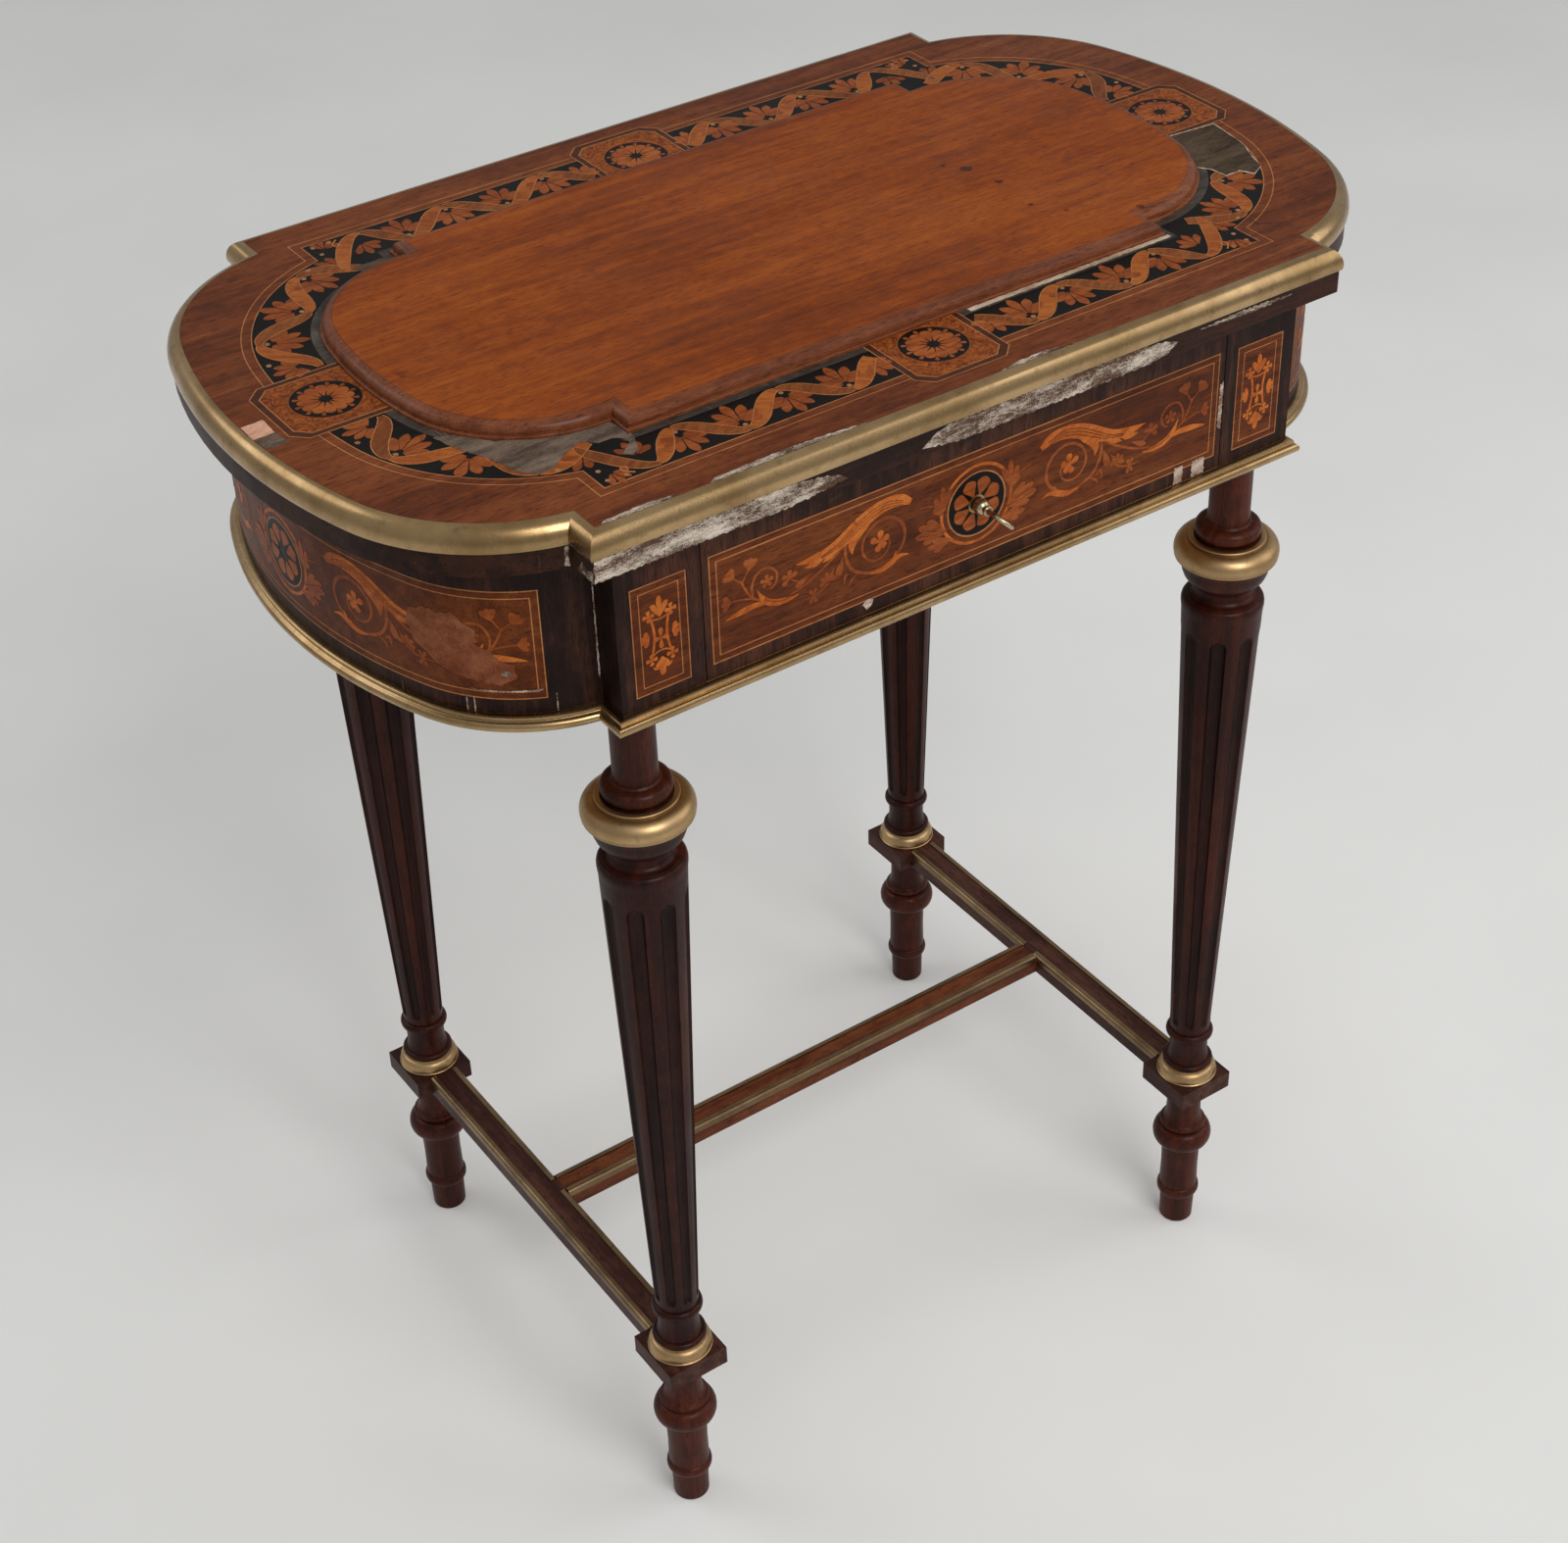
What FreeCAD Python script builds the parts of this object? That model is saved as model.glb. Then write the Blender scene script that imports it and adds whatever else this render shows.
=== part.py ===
import FreeCAD
import Part
import Sketcher
import os
from math import atan2, cos, pi, radians, sin, sqrt
from types import SimpleNamespace

# Marquetry dressing table: lifting lid over a well, frieze drawer, turned legs on an H stretcher.
# The origin lies on the floor under the middle of the table. X runs along the front to the right,
# Y to the back and Z up.

# Named sizes in millimetres and degrees. A name ending in share is a plain ratio.
SIZES = {
    # Fits: fixed seats, faces that pass one another, drawer opening, pins and key shank.
    "seat_gap": 0.1,
    "running_gap": 0.3,
    "drawer_gap": 0.6,
    "pin_gap": 0.05,
    "cut_overrun": 2,
    # Feet, from the floor up.
    "toe_radius": 11,
    "toe_height": 23,
    "toe_ring_radius": 13.7,
    "toe_ring_height": 9,
    "ankle_radius": 12.6,
    "ankle_height": 38,
    "ball_radius": 19.4,
    "ball_height": 20,
    "ball_bevel": 6,
    "foot_neck_radius": 11.3,
    "foot_neck_height": 32,
    "foot_tenon_radius": 7,
    "foot_tenon_length": 30,
    # Stretcher: end rails with blocks under the legs, a centre stretcher and brass strips.
    "leg_side_inset": 17,
    "leg_front_inset": 22,
    "stretcher_thickness": 13,
    "block_half": 20,
    "rail_half": 10.3,
    "centre_half": 9.85,
    "strip_width": 4.2,
    "strip_depth": 4,
    "strip_proud": 0.8,
    "strip_round": 2.4,
    "stub_length": 5,
    "stub_half": 4,
    "stub_height": 5,
    # Legs, from the stretcher block up.
    "collar_height": 9,
    "collar_seat_radius": 11.5,
    "base_ring_radius": 16.3,
    "base_ring_height": 7,
    "drum_radius": 12.5,
    "drum_height": 16,
    "bead_radius": 15.3,
    "bead_height": 7,
    "shaft_low_radius": 13,
    "shaft_high_radius": 23.6,
    "shaft_height": 329,
    "head_radius": 24.4,
    "head_height": 10,
    "head_bulge": 2.2,
    "cup_neck_radius": 16.3,
    "cup_neck_height": 10,
    "cup_low_radius": 20,
    "cup_radius": 26.5,
    "cup_height": 16,
    "cup_swell_radius": 25,
    "cup_swell_height": 8,
    "ring_seat_radius": 19.2,
    "ring_seat_height": 13.5,
    "torus_height": 9.5,
    "torus_bulge": 2.6,
    "neck_radius": 12,
    "neck_height": 49,
    "leg_tenon_radius": 9,
    "leg_tenon_length": 38,
    # Flutes of the shaft.
    "flute_radius": 4,
    "flute_low_margin": 11,
    "flute_high_margin": 15,
    "flute_low_depth": 1,
    "flute_high_depth": 2.7,
    # Brass rings under the neck and brass collars on the blocks.
    "ring_foot_radius": 28.7,
    "ring_radius": 30.3,
    "ring_swell_height": 5.5,
    "ring_swell_radius": 27.6,
    "ring_swell_drop": 3.2,
    "ring_top_radius": 21.6,
    "collar_radius": 19.6,
    "collar_plinth_height": 3,
    "collar_lip_radius": 17,
    # Bottom board and the brass moulding round its edge.
    "board_thickness": 8,
    "moulding_proud": 6,
    "moulding_height": 5,
    "moulding_bevel": 2.2,
    "bead_proud": 3.5,
    # Frieze outline: half front, half depth, corner step, how far the bowed end stands out.
    "apron_half_front": 217,
    "apron_half_depth": 177,
    "apron_step": 18,
    "apron_bow": 89,
    "apron_end_radius": 285,
    "apron_end_angle": 21.7,
    "frieze_height": 90,
    "apron_thickness": 18,
    "post_width": 49,
    "post_depth": 41,
    "back_rail_thickness": 18,
    "bearer_width": 12,
    "bearer_height": 45,
    "stop_inset": 78,
    "stop_length": 40,
    "stop_depth": 12,
    "stop_height": 4,
    # Well under the lid.
    "floor_thickness": 5,
    "well_front_thickness": 10,
    "tray_width": 48,
    "divider_thickness": 6,
    "divider_drop": 9,
    # Lid: overhang past the frieze, board, brass edge, veneered border and raised panel.
    "lid_side_overhang": 18,
    "lid_front_overhang": 14,
    "lid_step": 20,
    "lid_bow": 91,
    "lid_end_radius": 350,
    "lid_end_angle": 16,
    "lid_edge_inset": 1.5,
    "lid_edge_height": 12.7,
    "lid_board_thickness": 24.2,
    "brass_width": 8,
    "brass_bevel": 4,
    "border_thickness": 1.5,
    "border_side_width": 65,
    "border_front_width": 70,
    "panel_step": 15,
    "panel_bow": 81,
    "panel_end_radius": 260,
    "panel_end_angle": 10,
    "panel_thickness": 9.5,
    "panel_bevel": 4.5,
    # Mirror and its frame under the lid.
    "mirror_side_margin": 37,
    "mirror_front_margin": 62,
    "mirror_thickness": 4,
    "frame_width": 15,
    "frame_lap": 4,
    "frame_thickness": 5,
    # Drawer.
    "drawer_front_thickness": 18,
    "drawer_back_room": 31,
    "drawer_side_height": 42,
    "drawer_side_thickness": 10,
    "drawer_back_thickness": 10,
    "drawer_bottom_thickness": 4,
    "drawer_bottom_rise": 5,
    "drawer_groove_depth": 5,
    "drawer_lap": 8,
    # Lock in the drawer front and its key.
    "key_rise": 40,
    "lock_half_width": 28,
    "lock_drop": 22,
    "lock_height": 44,
    "lock_depth": 10,
    "lock_wall": 1.5,
    "ward_radius": 8.5,
    "bolt_half_width": 11.5,
    "bolt_thickness": 4.6,
    "bolt_rise": 10,
    "bolt_mortise_depth": 9,
    "keyhole_half_width": 1.4,
    "shank_radius": 2,
    "shank_length": 16,
    "key_ball_radius": 3.6,
    "key_ball_height": 7,
    "key_ball_bevel": 1.9,
    "key_throat_radius": 1.6,
    "key_throat_height": 1.2,
    "key_collar_radius": 3,
    "key_collar_height": 2,
    "bow_length": 18,
    "bow_half_width": 8.5,
    "bow_rim": 3,
    "bow_thickness": 2.6,
    "bow_round": 9.6,
    "bit_reach": 6.5,
    "bit_width": 5,
    "bit_thickness": 1.6,
    # Back hinges: the lid leaf runs on past the pin as a stop.
    "hinge_inset": 38,
    "hinge_width": 46,
    "hinge_standoff": 5.5,
    "hinge_pin_radius": 1.6,
    "barrel_radius": 3.5,
    "lid_barrel_length": 17.4,
    "carcase_leaf_thickness": 3,
    "carcase_leaf_drop": 21.5,
    "lid_leaf_thickness": 2.4,
    "lid_leaf_reach": 30,
    "lid_leaf_tail": 14.5,
}
FLUTE_COUNT = 8
BOW_TURN = 45
TINY_SHARE = 1e-6
# Turned beads are cut in straight bands: shares of their height, and of their depth still to come.
BEAD_SHARES = ((0, 1), (0.3, 0), (0.7, 0), (1, 1))

doc = FreeCAD.newDocument("DressingTable")
sheet = doc.addObject("Spreadsheet::Sheet", "Dims")
PIECES = []


class Size:
    """A length that carries its value and the sheet formula behind it."""

    def __init__(self, value, text):
        self.value = value
        self.text = text

    def __add__(self, other):
        other = sized(other)
        return Size(self.value + other.value, f"({self.text} + {other.text})")

    def __sub__(self, other):
        other = sized(other)
        return Size(self.value - other.value, f"({self.text} - {other.text})")

    def __mul__(self, other):
        other = sized(other)
        return Size(self.value * other.value, f"({self.text} * {other.text})")

    def __truediv__(self, other):
        other = sized(other)
        return Size(self.value / other.value, f"({self.text} / {other.text})")

    def __neg__(self):
        return Size(-self.value, f"(-{self.text})")


def sized(value):
    """A plain number as a Size."""
    return value if isinstance(value, Size) else Size(value, repr(value))


def root(value):
    return Size(sqrt(value.value), f"sqrt({value.text})")


def sine(angle):
    return Size(sin(radians(angle.value)), f"sin({angle.text})")


def cosine(angle):
    return Size(cos(radians(angle.value)), f"cos({angle.text})")


def enter(name, text):
    """Next row of the sheet: the name beside its aliased value."""
    row = len(sheet.getUsedCells()) // 2 + 1
    sheet.set(f"A{row}", name)
    sheet.set(f"B{row}", text)
    sheet.setAlias(f"B{row}", name)


def derived(name, value):
    """Keeps a worked-out size in the sheet and gives it back under its own name."""
    enter(name, "=" + value.text.replace("Dims.", ""))
    return Size(value.value, f"Dims.{name}")


for size_name, size_value in SIZES.items():
    enter(size_name, str(size_value))
D = SimpleNamespace(**{name: Size(value, f"Dims.{name}") for name, value in SIZES.items()})


def bind(item, **sizes):
    """Ties properties of an object to the sheet."""
    for name, value in sizes.items():
        item.setExpression(name, sized(value).text)


def place(item, x, y, z):
    """Ties an object's position to the sheet."""
    for axis, value in zip("xyz", (x, y, z)):
        item.setExpression(f"Placement.Base.{axis}", sized(value).text)
    return item


def piece(item, label):
    """Marks a finished sub-part and names its file."""
    item.Label = label
    PIECES.append(item)
    return item


def block(name, low, high):
    """Rectangular board between two opposite corners."""
    box = doc.addObject("Part::Box", name)
    for side, start, end in zip(("Length", "Width", "Height"), low, high):
        bind(box, **{side: sized(end) - start})
    return place(box, *low)


def rod(name, radius, length, start, direction):
    """Round bar from a start point along an axis."""
    bar = doc.addObject("Part::Cylinder", name)
    bar.Placement.Rotation = FreeCAD.Rotation(FreeCAD.Vector(0, 0, 1), direction)
    bind(bar, Radius=radius, Height=length)
    return place(bar, *start)


def joined(name, kind, shapes):
    """Several shapes fused, or kept apart in a group, as one object."""
    group = doc.addObject(kind, name)
    if kind == "Part::Compound":
        group.Links = shapes
    else:
        group.Shapes = shapes
    return group


def cut(name, base, *tools):
    """The base with every tool taken out of it."""
    result = doc.addObject("Part::Cut", name)
    result.Base = base
    result.Tool = tools[0] if len(tools) == 1 else joined(name + "_tools", "Part::MultiFuse", list(tools))
    return result


def fix(sketch, constraint, value=None):
    """Adds a constraint and ties its value to the sheet."""
    number = sketch.addConstraint(constraint)
    if value is not None:
        sketch.setExpression(f"Constraints[{number}]", value.text)


def pin_corner(sketch, edge, end, x, y):
    """Holds one end of a sketch edge at a place worked out from the sheet."""
    for kind, axis, value in (("DistanceX", -2, x), ("DistanceY", -1, y)):
        if value.value == 0:
            fix(sketch, Sketcher.Constraint("PointOnObject", edge, end, axis))
        elif value.value > 0:
            fix(sketch, Sketcher.Constraint(kind, -1, 1, edge, end, value.value), value)
        else:
            fix(sketch, Sketcher.Constraint(kind, edge, end, -1, 1, -value.value), -value)


def arc_between(start, end, radius):
    """Short arc that swells to the right of the way for a positive radius, to the left for a negative one."""
    middle = (start + end) / 2
    way = end - start
    rise = sqrt(radius * radius - way.Length * way.Length / 4) / way.Length
    side = FreeCAD.Vector(-way.y, way.x, 0) * (rise if radius > 0 else -rise)
    centre = middle + side
    first, last = (start, end) if radius > 0 else (end, start)
    circle = Part.Circle(centre, FreeCAD.Vector(0, 0, 1), abs(radius))
    angles = [atan2(spot.y - centre.y, spot.x - centre.x) for spot in (first, last)]
    if angles[1] < angles[0]:
        angles[1] += 2 * pi
    return Part.ArcOfCircle(circle, angles[0], angles[1])


def add_loop(sketch, corners):
    """Closed outline; a corner's third value is the radius of the arc that leads on from it."""
    corners = [tuple(sized(value) for value in corner) for corner in corners]
    spots = [FreeCAD.Vector(corner[0].value, corner[1].value, 0) for corner in corners]
    first = sketch.GeometryCount
    ends = []
    for number, corner in enumerate(corners):
        start = spots[number]
        end = spots[(number + 1) % len(spots)]
        if len(corner) == 2:
            sketch.addGeometry(Part.LineSegment(start, end))
            ends.append((1, 2))
        else:
            sketch.addGeometry(arc_between(start, end, corner[2].value))
            ends.append((1, 2) if corner[2].value > 0 else (2, 1))
    for number, corner in enumerate(corners):
        edge = first + number
        before = first + (number - 1) % len(corners)
        fix(sketch, Sketcher.Constraint("Coincident", before, ends[number - 1][1], edge, ends[number][0]))
        pin_corner(sketch, edge, ends[number][0], corner[0], corner[1])
        if len(corner) == 3:
            radius = corner[2] if corner[2].value > 0 else -corner[2]
            fix(sketch, Sketcher.Constraint("Radius", edge, radius.value), radius)


def add_circle(sketch, x, y, radius):
    """Full circle held at a place worked out from the sheet."""
    x, y = sized(x), sized(y)
    centre = FreeCAD.Vector(x.value, y.value, 0)
    number = sketch.addGeometry(Part.Circle(centre, FreeCAD.Vector(0, 0, 1), radius.value))
    pin_corner(sketch, number, 3, x, y)
    fix(sketch, Sketcher.Constraint("Radius", number, radius.value), radius)


def draw(body, name, plane, *loops, offset=0, circles=()):
    """Sketch on one of the body's own planes."""
    sketch = body.newObject("Sketcher::SketchObject", name)
    support = next(feature for feature in body.Origin.OriginFeatures if feature.Role == plane)
    sketch.AttachmentSupport = [(support, "")]
    sketch.MapMode = "FlatFace"
    sketch.setExpression("AttachmentOffset.Base.z", sized(offset).text)
    for loop in loops:
        add_loop(sketch, loop)
    for circle in circles:
        add_circle(sketch, *circle)
    return sketch


def pad(body, sketch, length):
    """Board of a sketch's outline."""
    feature = body.newObject("PartDesign::Pad", sketch.Label + "_pad")
    feature.Profile = sketch
    bind(feature, Length=length)
    return feature


def pocket(body, sketch, depth, upward=False):
    """Hollow cut down from the sketch's plane, or up from it."""
    feature = body.newObject("PartDesign::Pocket", sketch.Label + "_pocket")
    feature.Profile = sketch
    feature.Reversed = upward
    bind(feature, Length=depth)
    return feature


def turn(body, sketch):
    """Turned shape: the sketch swung about its vertical axis."""
    feature = body.newObject("PartDesign::Revolution", sketch.Label + "_turned")
    feature.Profile = sketch
    feature.ReferenceAxis = (sketch, ["V_Axis"])
    feature.Angle = 360
    return feature


def bevel_level(body, feature, level, size):
    """Bevels every edge of a feature that lies flat at one height."""
    doc.recompute()
    names = []
    for number, edge in enumerate(feature.Shape.Edges, 1):
        box = edge.BoundBox
        if max(abs(box.ZMin - level.value), abs(box.ZMax - level.value)) < TINY_SHARE * level.value:
            names.append(f"Edge{number}")
    bevel = body.newObject("PartDesign::Chamfer", feature.Label + "_bevel")
    bevel.Base = (feature, names)
    bind(bevel, Size=size)
    return bevel


def rectangle(left, near, right, far):
    """Corners of an upright rectangle, taken anticlockwise."""
    return [(left, near), (right, near), (right, far), (left, far)]


def bulge(radius, low, high, depth):
    """Bead of a turned profile: it starts and ends by its depth inside the radius."""
    height = high - low
    return [(radius - depth * in_share, low + height * up_share) for up_share, in_share in BEAD_SHARES]


def bevelled(radius, low, high, bevel):
    """Ring of a turned profile with both edges taken off."""
    return [(radius - bevel, low), (radius, low + bevel), (radius, high - bevel), (radius - bevel, high)]


def shoulder(name, front, depth):
    """Radius and centre of the arc that leads from a stepped corner into the bowed end."""
    step, bow, end, angle = (
        getattr(D, f"{name}_{part}") for part in ("step", "bow", "end_radius", "end_angle")
    )
    length = derived(f"{name}_half_length", front + bow)
    meet_x = derived(f"{name}_meet_x", length - end + end * cosine(angle))
    meet_y = derived(f"{name}_meet_y", end * sine(angle))
    run_x = derived(f"{name}_run_x", meet_x - front)
    run_y = derived(f"{name}_run_y", meet_y - depth + step)
    lean = (run_x * cosine(angle) + run_y * sine(angle)) * 2
    radius = derived(f"{name}_shoulder_radius", (run_x * run_x + run_y * run_y) / lean)
    centre_x = derived(f"{name}_shoulder_x", meet_x - radius * cosine(angle))
    centre_y = derived(f"{name}_shoulder_y", meet_y - radius * sine(angle))
    return SimpleNamespace(
        front=front, depth=depth, length=length, end=end, angle=angle, radius=radius, x=centre_x, y=centre_y
    )


def bowed_end(shape, inset):
    """Arc radii and the meeting point of shoulder and end arc, drawn in by an inset."""
    radius = shape.radius - inset
    end = shape.end - inset
    meet = (shape.length - shape.end + end * cosine(shape.angle), end * sine(shape.angle))
    return radius, end, meet


def shoulder_y(shape, inset, x):
    """Where the inset shoulder arc crosses a line across the table."""
    radius = shape.radius - inset
    return shape.y + root(radius * radius - (x - shape.x) * (x - shape.x))


def outline(shape, inset):
    """Stepped outline with bowed ends, drawn in by an inset."""
    front = shape.front - inset
    depth = shape.depth - inset
    radius, end, (meet_x, meet_y) = bowed_end(shape, inset)
    step_y = shoulder_y(shape, inset, front)
    return [
        (-front, -depth),
        (front, -depth),
        (front, -step_y, radius),
        (meet_x, -meet_y, end),
        (meet_x, meet_y, radius),
        (front, step_y),
        (front, depth),
        (-front, depth),
        (-front, step_y, radius),
        (-meet_x, meet_y, end),
        (-meet_x, -meet_y, radius),
        (-front, -step_y),
    ]


# Lid and raised panel take their outlines from the frieze, by overhang and by the width of the border.
LID_FRONT = derived("lid_half_front", D.apron_half_front + D.lid_side_overhang)
LID_DEPTH = derived("lid_half_depth", D.apron_half_depth + D.lid_front_overhang)
PANEL_FRONT = derived("panel_half_front", LID_FRONT - D.border_side_width)
PANEL_DEPTH = derived("panel_half_depth", LID_DEPTH - D.border_front_width)
APRON = shoulder("apron", D.apron_half_front, D.apron_half_depth)
LID = shoulder("lid", LID_FRONT, LID_DEPTH)
PANEL = shoulder("panel", PANEL_FRONT, PANEL_DEPTH)

# Places in plan that several pieces share: leg axes and the opening between the front posts.
LEG_X = derived("leg_x", D.apron_half_front - D.leg_side_inset)
LEG_Y = derived("leg_y", D.apron_half_depth - D.leg_front_inset)
OPENING_HALF = derived("opening_half", D.apron_half_front - D.post_width)

# Levels that the pieces share, from the floor up.
FOOT_HEIGHT = derived(
    "foot_height",
    D.toe_height + D.toe_ring_height + D.ankle_height + D.ball_height + D.foot_neck_height,
)
BLOCK_TOP = derived("block_top", FOOT_HEIGHT + D.stretcher_thickness)
SHAFT_LOW = derived("shaft_low", D.collar_height + D.base_ring_height + D.drum_height + D.bead_height)
SHAFT_TOP = derived("shaft_top", SHAFT_LOW + D.shaft_height)
CUP_LOW = derived("cup_low", SHAFT_TOP + D.head_height + D.cup_neck_height)
RING_LOW = derived("ring_low", CUP_LOW + D.cup_height)
TORUS_LOW = derived("torus_low", RING_LOW + D.ring_seat_height)
LEG_HEIGHT = derived("leg_height", TORUS_LOW + D.torus_height + D.neck_height)
BOARD_LOW = derived("board_low", BLOCK_TOP + LEG_HEIGHT)
FRIEZE_LOW = derived("frieze_low", BOARD_LOW + D.board_thickness)
FRIEZE_TOP = derived("frieze_top", FRIEZE_LOW + D.frieze_height)
LID_LOW = derived("lid_low", FRIEZE_TOP + D.running_gap)
BRASS_LOW = derived("brass_low", LID_LOW + D.lid_edge_height)
VENEER_LOW = derived("veneer_low", LID_LOW + D.lid_board_thickness)
FLOOR_LOW = derived("floor_low", FRIEZE_LOW + D.bearer_height)
WELL_LOW = derived("well_low", FLOOR_LOW + D.floor_thickness)
KEY_Z = derived("key_z", FRIEZE_LOW + D.key_rise)

CORNERS = {"front_left": (-1, -1), "front_right": (1, -1), "back_left": (-1, 1), "back_right": (1, 1)}
SIDES = {"left": -1, "right": 1}

# Turned feet: a tenon passes through the stretcher block into the leg and holds all three together.
for corner, (side, end) in CORNERS.items():
    foot = doc.addObject("PartDesign::Body", "Foot")
    ring_low = D.toe_height
    ankle_low = ring_low + D.toe_ring_height
    ball_low = ankle_low + D.ankle_height
    neck_low = ball_low + D.ball_height
    tenon_top = FOOT_HEIGHT + D.foot_tenon_length
    profile = [(0, 0), (D.toe_radius, 0), (D.toe_radius, ring_low)]
    profile += [(D.toe_ring_radius, ring_low), (D.toe_ring_radius, ankle_low)]
    profile += [(D.ankle_radius, ankle_low), (D.ankle_radius, ball_low)]
    profile += bevelled(D.ball_radius, ball_low, neck_low, D.ball_bevel)
    profile += [(D.foot_neck_radius, neck_low), (D.foot_neck_radius, FOOT_HEIGHT)]
    profile += [(D.foot_tenon_radius, FOOT_HEIGHT), (D.foot_tenon_radius, tenon_top), (0, tenon_top)]
    turn(foot, draw(foot, "FootProfile", "XZ_Plane", profile))
    place(foot, LEG_X * side, LEG_Y * end, 0)
    piece(foot, f"foot_{corner}")

# End rails of the stretcher: a square block at each end, rebated top edges for the brass strips
# and a mortise for the centre stretcher. The left rail is the right one turned about.
RAIL_RUN = derived("rail_run", LEG_Y - D.block_half)
STRIP_IN = derived("strip_in", D.rail_half - D.strip_width)
CENTRE_STRIP_IN = derived("centre_strip_in", D.centre_half - D.strip_width)
for name, side in SIDES.items():
    rail = doc.addObject("PartDesign::Body", "EndRail")
    reach = LEG_Y + D.block_half
    shape = [
        (-D.block_half, -reach),
        (D.block_half, -reach),
        (D.block_half, -RAIL_RUN),
        (D.rail_half, -RAIL_RUN),
        (D.rail_half, RAIL_RUN),
        (D.block_half, RAIL_RUN),
        (D.block_half, reach),
        (-D.block_half, reach),
        (-D.block_half, RAIL_RUN),
        (-D.rail_half, RAIL_RUN),
        (-D.rail_half, -RAIL_RUN),
        (-D.block_half, -RAIL_RUN),
    ]
    hole = D.foot_tenon_radius + D.seat_gap
    holes = [(0, -LEG_Y, hole), (0, LEG_Y, hole)]
    pad(rail, draw(rail, "RailOutline", "XY_Plane", shape, circles=holes), D.stretcher_thickness)
    rebates = draw(
        rail,
        "RailRebates",
        "XY_Plane",
        rectangle(STRIP_IN, -RAIL_RUN, D.rail_half + D.cut_overrun, RAIL_RUN),
        rectangle(-D.rail_half - D.cut_overrun, -RAIL_RUN, -STRIP_IN, -CENTRE_STRIP_IN),
        rectangle(-D.rail_half - D.cut_overrun, CENTRE_STRIP_IN, -STRIP_IN, RAIL_RUN),
        offset=D.stretcher_thickness,
    )
    pocket(rail, rebates, D.strip_depth)
    mortise_low = (D.stretcher_thickness - D.strip_depth - D.stub_height) / 2 - D.seat_gap
    mortise_top = mortise_low + D.stub_height + D.seat_gap * 2
    mortise_half = D.stub_half + D.seat_gap
    mortise = draw(
        rail,
        "RailMortise",
        "YZ_Plane",
        rectangle(-mortise_half, mortise_low, mortise_half, mortise_top),
        offset=-D.rail_half,
    )
    pocket(rail, mortise, D.stub_length + D.seat_gap, upward=True)
    rail.Placement.Rotation = FreeCAD.Rotation(FreeCAD.Vector(0, 0, 1), 0 if side > 0 else 180)
    place(rail, LEG_X * side, 0, FOOT_HEIGHT)
    piece(rail, f"stretcher_end_{name}")

# Centre stretcher with a stub tenon at each end and a rebate along both top edges.
CENTRE_RUN = derived("centre_run", LEG_X - D.rail_half)
centre = doc.addObject("PartDesign::Body", "CentreStretcher")
rebate_low = D.stretcher_thickness - D.strip_depth
section = [
    (-D.centre_half, 0),
    (D.centre_half, 0),
    (D.centre_half, rebate_low),
    (CENTRE_STRIP_IN, rebate_low),
    (CENTRE_STRIP_IN, D.stretcher_thickness),
    (-CENTRE_STRIP_IN, D.stretcher_thickness),
    (-CENTRE_STRIP_IN, rebate_low),
    (-D.centre_half, rebate_low),
]
pad(centre, draw(centre, "CentreSection", "YZ_Plane", section, offset=-CENTRE_RUN), CENTRE_RUN * 2)
stub_low = (rebate_low - D.stub_height) / 2
stub = rectangle(-D.stub_half, stub_low, D.stub_half, stub_low + D.stub_height)
stub_reach = CENTRE_RUN + D.stub_length
pad(centre, draw(centre, "StubSection", "YZ_Plane", stub, offset=-stub_reach), stub_reach * 2)
place(centre, 0, 0, FOOT_HEIGHT)
piece(centre, "stretcher_centre")


def strip_section(inner, outer, low, high, round_radius):
    """Brass strip in its rebate, rounded on the outer top edge; outer may lie on either side."""
    if outer.value > inner.value:
        return [(inner, low), (outer, low), (outer, high - round_radius, round_radius),
                (outer - round_radius, high), (inner, high)]
    return [(outer, low), (inner, low), (inner, high), (outer + round_radius, high, round_radius),
            (outer, high - round_radius)]


# Brass strips let into the top edges of the rails; the inner ones turn into the centre stretcher.
STRIP_LOW = D.stretcher_thickness - D.strip_depth
STRIP_TOP = D.stretcher_thickness + D.strip_proud
for name, side in SIDES.items():
    strips = doc.addObject("PartDesign::Body", "RailBrass")
    sections = draw(
        strips,
        "RailBrassSection",
        "XZ_Plane",
        strip_section(STRIP_IN, D.rail_half, STRIP_LOW, STRIP_TOP, D.strip_round),
        strip_section(-STRIP_IN, -D.rail_half, STRIP_LOW, STRIP_TOP, D.strip_round),
        offset=-RAIL_RUN,
    )
    pad(strips, sections, RAIL_RUN * 2)
    gap_out = -D.rail_half - D.cut_overrun
    gap = rectangle(gap_out, -CENTRE_STRIP_IN, D.cut_overrun - STRIP_IN, CENTRE_STRIP_IN)
    pocket(strips, draw(strips, "RailBrassGap", "XY_Plane", gap, offset=STRIP_TOP), D.stretcher_thickness)
    strips.Placement.Rotation = FreeCAD.Rotation(FreeCAD.Vector(0, 0, 1), 0 if side > 0 else 180)
    place(strips, LEG_X * side, 0, FOOT_HEIGHT)
    piece(strips, f"stretcher_brass_{name}")
strips = doc.addObject("PartDesign::Body", "CentreBrass")
sections = draw(
    strips,
    "CentreBrassSection",
    "YZ_Plane",
    strip_section(CENTRE_STRIP_IN, D.centre_half, STRIP_LOW, STRIP_TOP, D.strip_round),
    strip_section(-CENTRE_STRIP_IN, -D.centre_half, STRIP_LOW, STRIP_TOP, D.strip_round),
    offset=-CENTRE_RUN,
)
pad(strips, sections, CENTRE_RUN * 2)
place(strips, 0, 0, FOOT_HEIGHT)
piece(strips, "stretcher_brass_centre")

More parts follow.
